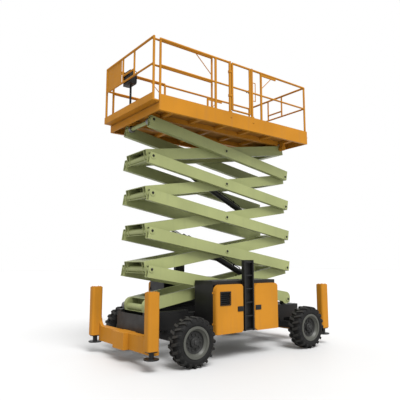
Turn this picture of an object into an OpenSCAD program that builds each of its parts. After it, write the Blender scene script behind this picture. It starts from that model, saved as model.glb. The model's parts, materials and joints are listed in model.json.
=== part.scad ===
// Scissor platform for rough ground, with four wheels and four levelling jacks.
// Millimetres. +X is the front, +Y the left side, +Z up, origin on the ground under the middle.

/* [Scissor stack] */
// Distance between the two end pins of one scissor arm
arm_span = 3377; // [3200:1:3450]
// Slope of the line between an arm's end pins, as it stands
rest_angle = 11; // [8:0.5:14]
// Height of the arm tube
arm_h = 200; // [160:1:210]
// Width of the arm tube
arm_w = 90; // [70:1:100]
// Wall of the arm tube
arm_wall = 10; // [6:1:14]
// Length of arm beyond its end pin
arm_end = 60; // [55:1:75]
// Radius of the upper corner at the closed ends of the bottom arms
arm_round = 120; // [60:1:140]
// How far an end pin lies from the middle of the arm's height
pin_shift = 40; // [20:1:50]
// Outer face of the outer arms, from the middle plane
stack_half_w = 467; // [430:1:480]
// Gap between an outer arm and the inner arm beside it
arm_gap = 30; // [20:1:40]
// Diameter of the pins at the arm ends
pin_d = 70; // [50:1:80]
// Diameter of the pins at the arm middles
middle_pin_d = 80; // [50:1:90]
// Wall of the sleeves that the pins turn in
sleeve_wall = 20; // [12:1:24]
// Height of the fixed bottom pivot above the ground
pivot_z = 865; // [840:1:920]
// Diameter of the sliding-end rollers
roller_d = 120; // [100:1:130]

/* [Lift cylinders] */
// Place of the cylinder foot along its inner arm, from the arm's middle
foot_at = -878; // [-950:1:-800]
// Place of the rod eye along the inner arm two pairs higher
eye_at = 1072; // [1000:1:1120]
// Outer diameter of the cylinder barrel
barrel_d = 110; // [90:1:130]
// Diameter of the cylinder rod
rod_d = 60; // [45:1:70]
// Diameter of the cross shaft at the cylinder foot
foot_pin_d = 60; // [45:1:70]
// Foot pin to the end of the barrel
barrel_l = 1740; // [1600:1:1760]
// Rod eye to the end of the piston
rod_l = 1680; // [1550:1:1700]

/* [Platform] */
// Main platform beyond the front rollers
platform_over_front = 153; // [120:1:200]
// Main platform beyond the rear pivots
platform_over_rear = 264; // [200:1:320]
// Outer face of the platform's sides, from the middle plane
platform_half_w = 886; // [800:1:950]
// Deck surface above the top pins
deck_rise = 175; // [165:1:220]
// Toe board above the deck
toe_h = 135; // [100:1:160]
// Side skirt below the deck
skirt_drop = 141; // [120:1:170]
// Thickness of the skirt plates
skirt_t = 6; // [4:1:10]
// Top of the guard rail above the deck
rail_h = 1133; // [1050:1:1200]
// Middle rail above the deck
mid_rail_h = 645; // [550:1:700]
// Diameter of the guard rail tubes
rail_d = 42; // [34:1:48]
// Diameter of the middle rail tubes
mid_d = 34; // [28:1:42]
// Front edge of the entry opening
gate_front = 313; // [280:1:340]
// Rear edge of the entry opening
gate_rear = -255; // [-300:1:-220]
// Gate post to the next guard rail post in front of it
front_bay = 347; // [250:1:420]
// Gate post to the next guard rail post behind it
rear_bay = 255; // [200:1:320]
// Stowed roll-out deck beyond the main platform
extension_over = 136; // [120:1:180]
// Length of the roll-out deck
extension_l = 1460; // [1300:1:1500]

/* [Chassis] */
// Top of the chassis rails below the arm pivots
chassis_drop = 105; // [95:1:120]
// Height of the chassis rails
chassis_rail_h = 260; // [220:1:290]
// Width of the chassis rails
chassis_rail_w = 120; // [90:1:130]
// Chassis beyond the front rollers
chassis_over_front = 105; // [100:1:140]
// Chassis beyond the rear pivots
chassis_over_rear = 260; // [220:1:300]
// Wall of the chassis rails
chassis_wall = 10; // [6:1:14]
// Thickness of the end plates
end_plate_t = 20; // [12:1:30]
// Lashing eyes from the ends of the chassis
lash_inset = 200; // [150:1:260]
// Thickness of the lashing eyes
lash_t = 20; // [12:1:30]
// Diameter of the holes in the lashing eyes
lash_hole_d = 40; // [25:1:50]

/* [Wheels] */
// Axles from the ends of the chassis
axle_inset = 474; // [460:1:490]
// Outer radius of the tyres, over the lugs
tyre_r = 390; // [370:1:400]
// Width of the tyres
tyre_w = 270; // [240:1:280]
// Distance of the tyre middles from the middle plane
wheel_y = 1100; // [1090:1:1120]
// Radius of the rim under the tyre
rim_r = 222; // [200:1:240]
// Lugs in each of a tyre's two rows
lug_n = 20; // [16:1:24]
// Height of the lugs over the tyre's carcass
lug_depth = 26; // [18:1:30]
// Width of a lug
lug_w = 42; // [32:1:48]
// Slant of the lugs
lug_slant = 16; // [0:1:20]
// Diameter of the wheel spindles
spindle_d = 60; // [45:1:70]
// Distance of the steering pins from the middle plane
kingpin_y = 930; // [920:1:932]
// Diameter of the steering pins
kingpin_d = 50; // [36:1:56]
// Length of the steering arms
steer_arm_l = 160; // [140:1:170]

/* [Levelling jacks] */
// Jacks beyond the ends of the chassis
jack_reach = 200; // [190:1:230]
// Distance of the jacks from the middle plane
jack_y = 984; // [950:1:1020]
// Length of the jack housing section
jack_l = 200; // [180:1:210]
// Width of the jack housing section
jack_w = 160; // [140:1:180]
// Radius of the housing's upright edges
jack_round = 40; // [24:1:60]
// Bottom of the jack housing
jack_z0 = 310; // [290:1:340]
// Top of the jack housing
jack_z1 = 1173; // [1100:1:1240]
// Wall of the jack housing
jack_wall = 16; // [10:1:20]
// Diameter of the foot pads
pad_d = 235; // [200:1:260]
// Underside of the raised foot pads above the ground
pad_z = 180; // [150:1:190]

/* [Side boxes] */
// Gap between the side boxes and the front tyres
box_gap_front = 110; // [105:1:160]
// Gap between the side boxes and the rear tyres
box_gap_rear = 353; // [310:1:420]
// Underside of the side boxes
box_z0 = 440; // [420:1:470]
// Top of the side boxes
box_z1 = 1310; // [1200:1:1350]
// Top of the doors below the top of the side boxes
door_drop = 60; // [20:1:90]
// Outer edge of the side boxes, from the middle plane
box_y1 = 1000; // [960:1:1010]
// Sheet thickness of the side boxes
box_wall = 6; // [3:1:10]
// Depth of the door covers
door_depth = 95; // [70:1:100]
// Radius of the doors' rounded upright edges
door_round = 45; // [20:1:60]
// Radius of the doors' outer corners
door_corner = 110; // [60:1:130]
// Cut at the doors' corners beside the ladder
door_cut = 60; // [30:1:75]
// Rear edge of the ladder bay
bay_x0 = -3; // [-30:1:30]
// Front edge of the ladder bay
bay_x1 = 235; // [210:1:270]
// Top of the ladder
ladder_top = 1665; // [1500:1:1750]
// Spacing of the ladder rungs
rung_step = 232; // [200:1:280]

/* [Hidden] */
$fn = 48;

// Colours
orange = [0.86, 0.58, 0.21];
olive = [0.66, 0.70, 0.47];
black = [0.10, 0.10, 0.10];
steel = [0.70, 0.71, 0.72];
rubber = [0.20, 0.20, 0.20];
rim_grey = [0.50, 0.50, 0.47];

// Clearances: pin in its sleeve, flat seat, guide, cut depth past a face
fit = 0.05;
seat = 0.3;
guide = 0.5;
past = 1;

// Scissor stack, worked out
pairs = 5;
arm_run = arm_span * cos(rest_angle);
rise = arm_span * sin(rest_angle);
chassis_half_l = (arm_run + chassis_over_front + chassis_over_rear) / 2;
pivot_x = chassis_over_rear - chassis_half_l;
front_pin_x = pivot_x + arm_run;
middle_x = (pivot_x + front_pin_x) / 2;
outer_in = stack_half_w - arm_w;
inner_out = outer_in - arm_gap;
inner_in = inner_out - arm_w;
arm_lean = atan(2 * pin_shift / arm_span);
arm_l = arm_span / cos(arm_lean) + 2 * arm_end;
collar_d = pin_d + 2 * sleeve_wall;
pin_head_t = 8;
cross_box_l = 200;
function pin_z(k) = pivot_z + k * rise;
function middle_z(k) = pivot_z + (k - 0.5) * rise;

// Lift cylinders, worked out at rest
reach_x = (eye_at - foot_at) * cos(rest_angle);
reach_z = (2 * arm_span - (eye_at - foot_at)) * sin(rest_angle);
cylinder_l = norm([reach_x, reach_z]);
cylinder_angle = atan2(reach_z, reach_x);
eye_wall = 25;
eye_d = foot_pin_d + 2 * eye_wall;
eye_w = 80;
gland_l = 60;
piston_l = 60;
bore_wall = 10;
foot_wall = 55;

// Platform, worked out
platform_front = front_pin_x + platform_over_front;
platform_rear = pivot_x - platform_over_rear;
top_pin_z = pin_z(pairs);
deck_top = top_pin_z + deck_rise;
deck_t = 22;
deck_under = deck_top - deck_t;
skirt_z0 = deck_top - skirt_drop;
toe_top = deck_top + toe_h;
guide_z = top_pin_z + roller_d / 2 + seat;
cross_h = 60;
cross_w = 80;
cross_z = deck_under - cross_h;
gate_post_d = 50;
channel_t = 20;
upright_y = 210;
rail_y = platform_half_w - skirt_t - gate_post_d / 2 - past;
top_rail_z = deck_top + rail_h - rail_d / 2;
mid_rail_z = deck_top + mid_rail_h;
front_post_x = platform_front - skirt_t - rail_d / 2 - past;
rear_post_x = platform_rear + skirt_t + rail_d / 2 + past;
front_mid_x = gate_front + front_bay;
rear_mid_x = gate_rear - rear_bay;
mid_post_d = rail_d + 4;
brace_d = 16;
brace_drop = 0.68 * (rail_h - mid_rail_h);

// Roll-out deck, worked out
extension_deck_t = 22;
runner_h = 6;
extension_z = deck_top + seat + runner_h;
extension_top = extension_z + extension_deck_t;
extension_rail_d = 36;
rail_pass = 20;
extension_front = platform_front + extension_over;
extension_rail_y = rail_y - rail_d / 2 - rail_pass - extension_rail_d / 2;
extension_half_w = extension_rail_y + extension_rail_d / 2;
extension_rear = extension_front - extension_l;
extension_post_x = extension_front - skirt_t - rail_d / 2 - past;
extension_corner_y = platform_half_w - rail_d / 2;
side_rail_inset = 140;
extension_side_rear = extension_rear + side_rail_inset;
brace_l = 380;

// Chassis, worked out
rail_top = pivot_z - chassis_drop;
rail_bottom = rail_top - chassis_rail_h;
rail_mid_y = stack_half_w - arm_w / 2;
rail_out = rail_mid_y + chassis_rail_w / 2;
rail_in = rail_mid_y - chassis_rail_w / 2;
track_top = pivot_z - roller_d / 2 - seat;
axle_x = chassis_half_l - axle_inset;
lash_x = chassis_half_l - lash_inset;
axle_h = 120;
axle_w = 110;
axle_z = tyre_r;
fork_t = 28;
knuckle_h = 110;
kingpin_boss_d = kingpin_d + 30;
steer_arm_w = 40;
steer_arm_t = 24;
steer_arm_low = 52;
tie_pin_d = 20;
spindle_out = tyre_w / 4;
tread_r = tyre_r - lug_depth;
rim_lip = 28;
lash_drop = 75;

// Side boxes, worked out
box_x1 = axle_x - tyre_r - box_gap_front;
box_x0 = box_gap_rear + tyre_r - axle_x;
box_off_rail = 18;
box_y0 = rail_out + box_off_rail;
hinge_d = 14;
hinge_pin_d = 8;
hinge_h = 30;
hinge_leaf = 4;
hinge_leaf_l = 45;
hinge_out = hinge_d / 2 + 1;
hinge_y = box_y1 + 3;
door_gap = 5;
door_y0 = box_y1 + door_gap;
door_y1 = door_y0 + door_depth;
door_bay_gap = 6;
vent_in = 90;
vent_w = 210;
vent_h = 204;
door_h = box_z1 - box_z0 - door_drop;
vent_z = door_h - 330;
inside_gap = 60;
engine_half_l = 350;
engine_h = 550;
engine_front = 90;
tank_half_l = 300;
// Both stand at the ladder's bay, or clear of the box's end where that is nearer
engine_x = max(bay_x0, box_x0 + box_wall + inside_gap + engine_half_l);
tank_x = min(bay_x1, box_x1 - box_wall - inside_gap - tank_half_l);
tank_h = 570;
tank_front = 110;

// Levelling jacks, worked out
jack_x = chassis_half_l + jack_reach;
leg_l = jack_l - 2 * jack_wall - 2 * guide;
leg_w = jack_w - 2 * jack_wall - 2 * guide;
beam_front = jack_x - jack_w / 4;
beam_drop = 95;
beam_rise = 160;
beam_z0 = jack_z0 - beam_drop;
beam_z1 = jack_z0 + beam_rise;
beam_half_w = jack_y - jack_w / 2 + jack_wall / 2;

// Helpers
module both_sides() {
    children();
    mirror([0, 1, 0]) children();
}
module y_rod(d, y0, y1) {
    translate([0, y0, 0]) rotate([-90, 0, 0]) cylinder(d = d, h = y1 - y0);
}
module x_rod(d, x0, x1) {
    translate([x0, 0, 0]) rotate([0, 90, 0]) cylinder(d = d, h = x1 - x0);
}
module tube_between(a, b, d) {
    v = b - a;
    l = norm(v);
    translate(a) rotate([0, acos(v[2] / l), atan2(v[1], v[0])]) cylinder(d = d, h = l);
}
// A box given by its low and high corners
module block(low, high) {
    translate(low) cube(high - low);
}

// Scissor arms
// Square tube with open ends; closed_end closes and rounds its front (1) or rear (-1) end
module arm_tube(lean, y0, closed_end = 0) {
    hollow_l = arm_l + 2 * past - abs(closed_end) * (arm_round + past);
    rotate([0, lean, 0]) mirror([closed_end < 0 ? 1 : 0, 0, 0])
        translate([-arm_l / 2, y0, -arm_h / 2]) difference() {
            if (closed_end == 0) cube([arm_l, arm_w, arm_h]);
            else translate([0, arm_w, 0]) rotate([90, 0, 0]) linear_extrude(arm_w) arm_side();
            translate([-past, arm_wall, arm_wall])
                cube([hollow_l, arm_w - 2 * arm_wall, arm_h - 2 * arm_wall]);
        }
}
// Side view of an arm whose front end has a round upper corner
module arm_side() {
    square([arm_l - arm_round, arm_h]);
    square([arm_l, arm_h - arm_round]);
    translate([arm_l - arm_round, arm_h - arm_round]) circle(r = arm_round);
}
// Place of an arm: lean is -1 for outer arms, which rise to the front, and +1 for inner ones
module at_pair(k, lean) {
    translate([middle_x, 0, middle_z(k)]) rotate([0, lean * rest_angle, 0]) children();
}
module outer_frame(k) {
    color(olive) at_pair(k, -1) {
        both_sides() {
            arm_tube(arm_lean, outer_in, k == 1 ? -1 : 0);
            for (x = [-arm_span / 2, arm_span / 2]) translate([x, 0, 0])
                y_rod(collar_d, inner_out + seat, stack_half_w + pin_head_t);
            y_rod(middle_pin_d, inner_in, stack_half_w + pin_head_t);
            y_rod(middle_pin_d + 2 * sleeve_wall, inner_out + seat, outer_in + past);
        }
        for (x = [-arm_span / 2, arm_span / 2]) translate([x, 0, 0]) y_rod(pin_d, -outer_in, outer_in);
    }
}
module inner_frame(k) {
    carries_foot = k == 1 || k == 3;
    carries_eye = k == 3 || k == 5;
    color(olive) at_pair(k, 1) {
        difference() {
            union() {
                both_sides() {
                    arm_tube(-arm_lean, inner_in, k == 1 ? 1 : 0);
                    y_rod(middle_pin_d + 2 * sleeve_wall, inner_in, inner_out);
                }
                for (x = [-arm_span / 2, arm_span / 2]) translate([x, 0, 0]) {
                    y_rod(collar_d, -inner_out, inner_out);
                }
                rotate([0, -arm_lean, 0]) {
                    cross_box(-1);
                    cross_box(1, k == 1 ? arm_round : 0);
                }
                if (carries_foot) translate([foot_at, 0, 0])
                    y_rod(foot_pin_d, -inner_in - past, inner_in + past);
                if (carries_eye) both_sides() eye_lug();
            }
            for (x = [-arm_span / 2, arm_span / 2]) translate([x, 0, 0])
                y_rod(pin_d + 2 * fit, -inner_out - past, inner_out + past);
            both_sides() y_rod(middle_pin_d + 2 * fit, inner_in - past, inner_out + past);
        }
    }
}
// Open box that ties the two inner arms together behind their end sleeve, its top shorter if asked
module cross_box(end, top_less = 0) {
    x0 = end > 0 ? arm_l / 2 - arm_end - cross_box_l : -arm_l / 2;
    x1 = end > 0 ? arm_l / 2 : arm_end + cross_box_l - arm_l / 2;
    web = end > 0 ? x0 : x1 - arm_wall;
    block([x0, -inner_in - past, -arm_h / 2], [x1, inner_in + past, arm_wall - arm_h / 2]);
    block([x0, -inner_in - past, arm_h / 2 - arm_wall], [x1 - top_less, inner_in + past, arm_h / 2]);
    block([web, -inner_in - past, -arm_h / 2], [web + arm_wall, inner_in + past, arm_h / 2]);
}
// Plate that reaches back from the front cross box to the rod eye
module eye_lug() {
    lug_t = 20;
    lug_in = eye_w / 2 + 10;
    lug_half_h = eye_d / 2 + 5;
    difference() {
        union() {
            block([eye_at, lug_in, -lug_half_h],
                  [arm_span / 2 - cross_box_l + arm_wall, lug_in + lug_t, lug_half_h]);
            translate([eye_at, 0, 0]) y_rod(2 * lug_half_h, lug_in, lug_in + lug_t);
        }
        translate([eye_at, 0, 0]) y_rod(foot_pin_d, lug_in - past, lug_in + lug_t + past);
    }
}
module rollers_low() {
    color(steel) translate([front_pin_x, 0, pin_z(0)]) {
        y_rod(pin_d, -outer_in - arm_w, outer_in + arm_w);
        both_sides() y_rod(roller_d, outer_in, outer_in + arm_w - 10);
    }
}
module rollers_top() {
    color(steel) translate([front_pin_x, 0, top_pin_z]) both_sides() difference() {
        y_rod(roller_d, inner_in + 20, inner_out - seat);
        y_rod(pin_d + 2 * fit, inner_in, inner_out);
    }
}

// Lift cylinders: foot is the number of the inner frame that carries the barrel
module at_cylinder(foot) {
    foot_x = middle_x + foot_at * cos(rest_angle);
    foot_z = middle_z(foot) - foot_at * sin(rest_angle);
    translate([foot_x, 0, foot_z]) rotate([0, -cylinder_angle, 0]) children();
}
module barrel(foot) {
    color(black) at_cylinder(foot) difference() {
        union() {
            y_rod(eye_d, -eye_w / 2, eye_w / 2);
            x_rod(barrel_d, foot_wall, barrel_l);
            block([0, -eye_w / 2, -eye_d / 4], [foot_wall + past, eye_w / 2, eye_d / 4]);
        }
        y_rod(foot_pin_d + 2 * fit, -eye_w / 2 - past, eye_w / 2 + past);
        x_rod(barrel_d - 2 * bore_wall, 2 * foot_wall, barrel_l - gland_l);
        x_rod(rod_d + 2 * fit, barrel_l - gland_l - past, barrel_l + past);
    }
}
module rod(foot) {
    color(steel) at_cylinder(foot) difference() {
        union() {
            x_rod(rod_d, cylinder_l - rod_l, cylinder_l);
            x_rod(barrel_d - 2 * bore_wall - 2 * fit, cylinder_l - rod_l, cylinder_l - rod_l + piston_l);
            translate([cylinder_l, 0, 0]) y_rod(eye_d, -eye_w / 2, eye_w / 2);
        }
        translate([cylinder_l, 0, 0]) y_rod(foot_pin_d, -eye_w / 2 - past, eye_w / 2 + past);
    }
}

// Platform
// Sides, rear plate and front channel of the platform, with the sockets of the gate posts
module platform_skirts() {
    flange_w = 60;
    socket_d = gate_post_d + 34;
    socket_drop = 107;
    socket_rise = 20;
    color(orange) difference() {
        union() {
            both_sides() {
                block([platform_rear, platform_half_w - skirt_t, skirt_z0],
                      [platform_front, platform_half_w, toe_top]);
                block([platform_rear, platform_half_w - flange_w, skirt_z0],
                      [platform_front, platform_half_w - skirt_t + past, skirt_z0 + skirt_t]);
            }
            block([platform_rear, -platform_half_w, skirt_z0],
                  [platform_rear + skirt_t, platform_half_w, toe_top]);
            block([platform_front - channel_t, -platform_half_w, skirt_z0],
                  [platform_front, platform_half_w, deck_under]);
            for (x = [gate_front, gate_rear]) translate([x, rail_y, toe_top - socket_drop])
                cylinder(d = socket_d, h = socket_drop + socket_rise);
        }
        for (x = [gate_front, gate_rear]) translate([x, rail_y, deck_top])
            cylinder(d = gate_post_d + 2 * fit, h = rail_h);
    }
}
// Guides of the top rollers, cross beams set between and beside them, and the rear pivot ears
module platform_beams() {
    guide_in = inner_in + 5;
    guide_out = inner_out + 15;
    guide_rear = pivot_x + 80;
    bays = 5;
    front_beam_x = front_pin_x - 235;
    beam_step = (front_beam_x - pivot_x) / bays;
    side_y = platform_half_w - skirt_t;
    color(orange) {
        both_sides() {
            block([guide_rear, guide_in, guide_z], [platform_front - channel_t, guide_out, deck_under]);
            pivot_lug();
        }
        translate([pivot_x, 0, 0]) cross_beam(-side_y, side_y);
        for (i = [1 : bays]) translate([pivot_x + i * beam_step, 0, 0]) {
            cross_beam(seat - guide_in, guide_in - seat);
            both_sides() cross_beam(guide_out + seat, side_y);
        }
        translate([pivot_x, 0, top_pin_z]) y_rod(pin_d, -outer_in - arm_w, outer_in + arm_w);
    }
}
module cross_beam(y0, y1) {
    block([-cross_w / 2, y0, cross_z], [cross_w / 2, y1, deck_under]);
}
// Ear that hangs from the rear cross beam and holds the top pivot pin
module pivot_lug() {
    y0 = outer_in;
    y1 = stack_half_w;
    block([pivot_x - cross_w / 2, y0, top_pin_z], [pivot_x + cross_w / 2, y1, cross_z + past]);
    translate([pivot_x, 0, top_pin_z]) y_rod(collar_d, inner_out + seat, y1);
}
module platform_deck() {
    edge = skirt_t + past;
    color(orange) block([platform_rear + edge, -platform_half_w + edge, deck_under],
                        [platform_front, platform_half_w - edge, deck_top]);
}
// Posts of one side, with a flat bar under the top rail and a brace behind the gate
module side_posts(y) {
    bar_l = 420;
    bar_half_t = 12;
    bar_z = top_rail_z - 1.4 * rail_d;
    brace_run = 300;
    for (x = [front_post_x, rear_post_x]) {
        translate([x, y, deck_top]) cylinder(d = rail_d, h = top_rail_z - deck_top);
        translate([x, y, top_rail_z]) sphere(d = rail_d);
    }
    for (x = [front_mid_x, rear_mid_x])
        translate([x, y, deck_top]) cylinder(d = mid_post_d, h = top_rail_z - deck_top);
    block([rear_mid_x - bar_l, y - bar_half_t, bar_z], [rear_mid_x, y + bar_half_t, top_rail_z]);
    tube_between([rear_mid_x - brace_run, y, bar_z + brace_d],
                 [rear_mid_x, y, top_rail_z - brace_drop], brace_d);
}
// Top and middle rail between two places along a side
module side_rails(x0, x1, y) {
    tube_between([x0, y, top_rail_z], [x1, y, top_rail_z], rail_d);
    tube_between([x0, y, mid_rail_z], [x1, y, mid_rail_z], mid_d);
}
module rails_left() {
    handle_x = gate_rear - 95;
    handle_z = [mid_rail_z - 155, mid_rail_z + 213];
    color(orange) {
        side_posts(rail_y);
        side_rails(front_post_x, gate_front, rail_y);
        side_rails(gate_rear, rear_post_x, rail_y);
        for (x = [gate_front, gate_rear]) translate([x, rail_y, deck_top])
            cylinder(d = gate_post_d, h = top_rail_z + rail_d / 2 - deck_top);
        tube_between([handle_x, rail_y, handle_z[0]], [handle_x, rail_y, handle_z[1]], brace_d);
        for (z = handle_z) {
            tube_between([gate_rear, rail_y, z], [handle_x, rail_y, z], brace_d);
            translate([handle_x, rail_y, z]) sphere(d = brace_d);
        }
    }
}
module rails_right() {
    color(orange) {
        side_posts(-rail_y);
        side_rails(front_post_x, front_mid_x, -rail_y);
        side_rails(front_mid_x, rear_mid_x, -rail_y);
        side_rails(rear_mid_x, rear_post_x, -rail_y);
    }
}
module rails_rear() {
    color(orange) cross_rails(rear_post_x, rail_y - rail_d / 2 - seat);
}
// Rails across an end, with the two short uprights and the short bar in its middle
module cross_rails(x, half_w) {
    bar_z = mid_rail_z + 120;
    tube_between([x, -half_w, top_rail_z], [x, half_w, top_rail_z], rail_d);
    tube_between([x, -half_w, mid_rail_z], [x, half_w, mid_rail_z], mid_d);
    both_sides() tube_between([x, upright_y, mid_rail_z], [x, upright_y, top_rail_z], mid_d);
    tube_between([x, -upright_y, bar_z], [x, upright_y, bar_z], mid_d);
}
module gate() {
    ring_h = 40;
    ring_wall = 10;
    ring_drop = 200;
    lug_half_t = 12;
    lug_in = 5;
    stile_in = gate_post_d / 2 + ring_wall + 25;
    latch_gap = gate_post_d / 2 + 8;
    hinge_x = gate_front - stile_in;
    free_x = gate_rear + latch_gap + rail_d / 2;
    low_z = toe_top + 60;
    color(orange) difference() {
        union() {
            for (x = [hinge_x, free_x]) translate([x, rail_y, low_z])
                cylinder(d = rail_d, h = top_rail_z - low_z);
            for (z = [top_rail_z, mid_rail_z, low_z])
                tube_between([hinge_x, rail_y, z], [free_x, rail_y, z], z == top_rail_z ? rail_d : mid_d);
            for (z = [mid_rail_z - ring_drop, top_rail_z - ring_drop]) {
                translate([gate_front, rail_y, z]) cylinder(d = gate_post_d + 2 * ring_wall, h = ring_h);
                block([hinge_x, rail_y - lug_half_t, z + lug_in],
                      [gate_front - gate_post_d / 2 - past, rail_y + lug_half_t, z + ring_h - lug_in]);
            }
        }
        translate([gate_front, rail_y, deck_top]) cylinder(d = gate_post_d + 2 * fit, h = rail_h + past);
    }
}

// Roll-out deck
module extension_deck() {
    runner_w = 60;
    runner_in = 20;
    runner_short = 40;
    strip_gap = 12;
    color(orange) {
        block([extension_rear, -extension_half_w, extension_z],
              [extension_front - past, extension_half_w, extension_top]);
        block([platform_front + strip_gap, -platform_half_w, extension_z],
              [extension_front - past, platform_half_w, extension_top]);
        both_sides() block([extension_rear, extension_half_w - runner_in - runner_w, deck_top + seat],
                           [platform_front - runner_short, extension_half_w - runner_in,
                            extension_z + past]);
        block([extension_front - skirt_t, -platform_half_w, extension_z],
              [extension_front, platform_half_w, toe_top]);
    }
}
// Front posts and rails of the roll-out deck, with a sheet in the right upper bay
module front_rails() {
    sheet_half_t = 2;
    sheet_gap = 60;
    color(orange) {
        both_sides() {
            translate([extension_post_x, extension_corner_y, extension_top])
                cylinder(d = rail_d, h = top_rail_z - extension_top);
            translate([extension_post_x, extension_corner_y, top_rail_z]) sphere(d = rail_d);
        }
        cross_rails(extension_post_x, extension_corner_y);
        block([extension_post_x - sheet_half_t, -extension_corner_y, mid_rail_z],
              [extension_post_x + sheet_half_t, -upright_y - sheet_gap, top_rail_z]);
    }
}
module front_side_rails() {
    y = extension_rail_y;
    color(orange) both_sides() {
        translate([extension_side_rear, y, extension_top])
            cylinder(d = extension_rail_d, h = top_rail_z - extension_top);
        translate([extension_side_rear, y, top_rail_z]) sphere(d = extension_rail_d);
        tube_between([extension_side_rear, y, top_rail_z],
                     [extension_post_x - rail_d / 2 - seat, y, top_rail_z], extension_rail_d);
        tube_between([extension_side_rear, y, mid_rail_z],
                     [extension_post_x - mid_d / 2 - seat, y, mid_rail_z], extension_rail_d);
        tube_between([extension_side_rear + brace_l, y, top_rail_z],
                     [extension_side_rear, y, top_rail_z - brace_drop], brace_d);
    }
}
// Control box with a sloped top towards the user, on a stand
module control_box() {
    box_l = 150;
    box_w = 250;
    box_h = 250;
    box_low = mid_rail_z - 60;
    box_x = extension_post_x - rail_d / 2 - box_l;
    stand_w = 30;
    stand_x = box_x + 40;
    stand_y = -box_w / 2;
    color(black) {
        translate([box_x, 0, box_low]) rotate([90, 0, 0]) linear_extrude(box_w)
            polygon([[0, 0], [box_l, 0], [box_l, box_h], [box_l / 2, box_h], [0, 0.6 * box_h]]);
        block([stand_x, stand_y - stand_w / 2, extension_top],
              [stand_x + stand_w, stand_y + stand_w / 2, box_low + past]);
    }
}

// Chassis
// Two long rails with the roller tracks, axle pads, side box brackets and lashing eyes
module chassis_frame() {
    track_from = pivot_x + 0.76 * arm_span;
    track_side = 5;
    bracket_in = 120;
    bracket_half_l = 40;
    bracket_z = rail_bottom + 30;
    bracket_h = 80;
    color(black) {
        both_sides() {
            difference() {
                block([-chassis_half_l, rail_in, rail_bottom], [chassis_half_l, rail_out, rail_top]);
                block([-chassis_half_l - past, rail_in + chassis_wall, rail_bottom + chassis_wall],
                      [chassis_half_l + past, rail_out - chassis_wall, rail_top - chassis_wall]);
            }
            block([track_from, outer_in - track_side, rail_top - past],
                  [chassis_half_l, stack_half_w + track_side, track_top]);
            for (x = [-axle_x, axle_x])
                block([x - axle_w / 2, rail_in, axle_z + axle_h / 2],
                      [x + axle_w / 2, rail_out, rail_bottom + past]);
            for (x = [box_x0 + bracket_in, box_x1 - bracket_in])
                block([x - bracket_half_l, rail_out - past, bracket_z],
                      [x + bracket_half_l, box_y0, bracket_z + bracket_h]);
            for (x = [-lash_x, lash_x]) translate([x, 0, 0]) lashing_eye();
        }
    }
}
// Members between the long rails, end plates, and the block with the ears of the fixed pivots
module cross_members() {
    ear_t = 60;
    member_half_l = 50;
    member_up = 40;
    member_down = 60;
    block_half_l = 90;
    block_h = 100;
    plate_up = 30;
    color(black) {
        for (i = [-2 : 2]) translate([i * axle_x / 2, 0, 0])
            block([-member_half_l, -rail_in, rail_bottom + member_up],
                  [member_half_l, rail_in, rail_top - member_down]);
        block([pivot_x - block_half_l, -rail_in, rail_top - block_h],
              [pivot_x + block_half_l, rail_in, rail_top]);
        both_sides() pivot_ear(inner_out - ear_t, inner_out - seat);
        for (end = [0, 1]) mirror([end, 0, 0])
            block([chassis_half_l, -rail_out, beam_z0 + plate_up],
                  [chassis_half_l + end_plate_t, rail_out, rail_top]);
    }
}
// Plate with a hole for a lashing hook, under a chassis rail
module lashing_eye() {
    eye_half_w = 45;
    difference() {
        block([-eye_half_w, rail_out - lash_t, rail_bottom - lash_drop],
              [eye_half_w, rail_out, rail_bottom + past]);
        translate([0, 0, rail_bottom - lash_drop / 2])
            y_rod(lash_hole_d, rail_out - lash_t - past, rail_out + past);
    }
}
// Ear that holds the fixed bottom pivot pin
module pivot_ear(y0, y1) {
    difference() {
        union() {
            translate([pivot_x, 0, pivot_z]) y_rod(collar_d, y0, y1);
            block([pivot_x - collar_d / 2, y0, rail_top - past], [pivot_x + collar_d / 2, y1, pivot_z]);
        }
        translate([pivot_x, 0, pivot_z]) y_rod(pin_d + 2 * fit, y0 - past, y1 + past);
    }
}
module axle_front() {
    beam_y = kingpin_y - kingpin_boss_d / 2 - 20;
    fork_root = 50;
    fork_z = [axle_z - knuckle_h / 2 - seat - fork_t, axle_z + knuckle_h / 2 + seat];
    color(black) translate([axle_x, 0, 0]) {
        block([-axle_w / 2, -beam_y, axle_z - axle_h / 2], [axle_w / 2, beam_y, axle_z + axle_h / 2]);
        both_sides() difference() {
            union() {
                for (z = fork_z) {
                    block([-kingpin_boss_d / 2, beam_y - fork_root, z],
                          [kingpin_boss_d / 2, kingpin_y, z + fork_t]);
                    translate([0, kingpin_y, z]) cylinder(d = kingpin_boss_d, h = fork_t);
                }
                block([-kingpin_boss_d / 2, beam_y - fork_root, fork_z[0]],
                      [kingpin_boss_d / 2, beam_y + past, fork_z[1] + fork_t]);
            }
            translate([0, kingpin_y, fork_z[0] - past])
                cylinder(d = kingpin_d + 2 * fit, h = fork_z[1] + fork_t);
        }
    }
}
module axle_rear() {
    flange_d = 200;
    flange_t = 80;
    flange_y = kingpin_y - 60;
    beam_y = kingpin_y - 40;
    case_d = 300;
    color(black) translate([-axle_x, 0, axle_z]) {
        block([-axle_w / 2, -beam_y, -axle_h / 2], [axle_w / 2, beam_y, axle_h / 2]);
        sphere(d = case_d);
        both_sides() {
            y_rod(flange_d, flange_y, flange_y + flange_t);
            y_rod(spindle_d, kingpin_y, wheel_y + spindle_out);
        }
    }
}
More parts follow.
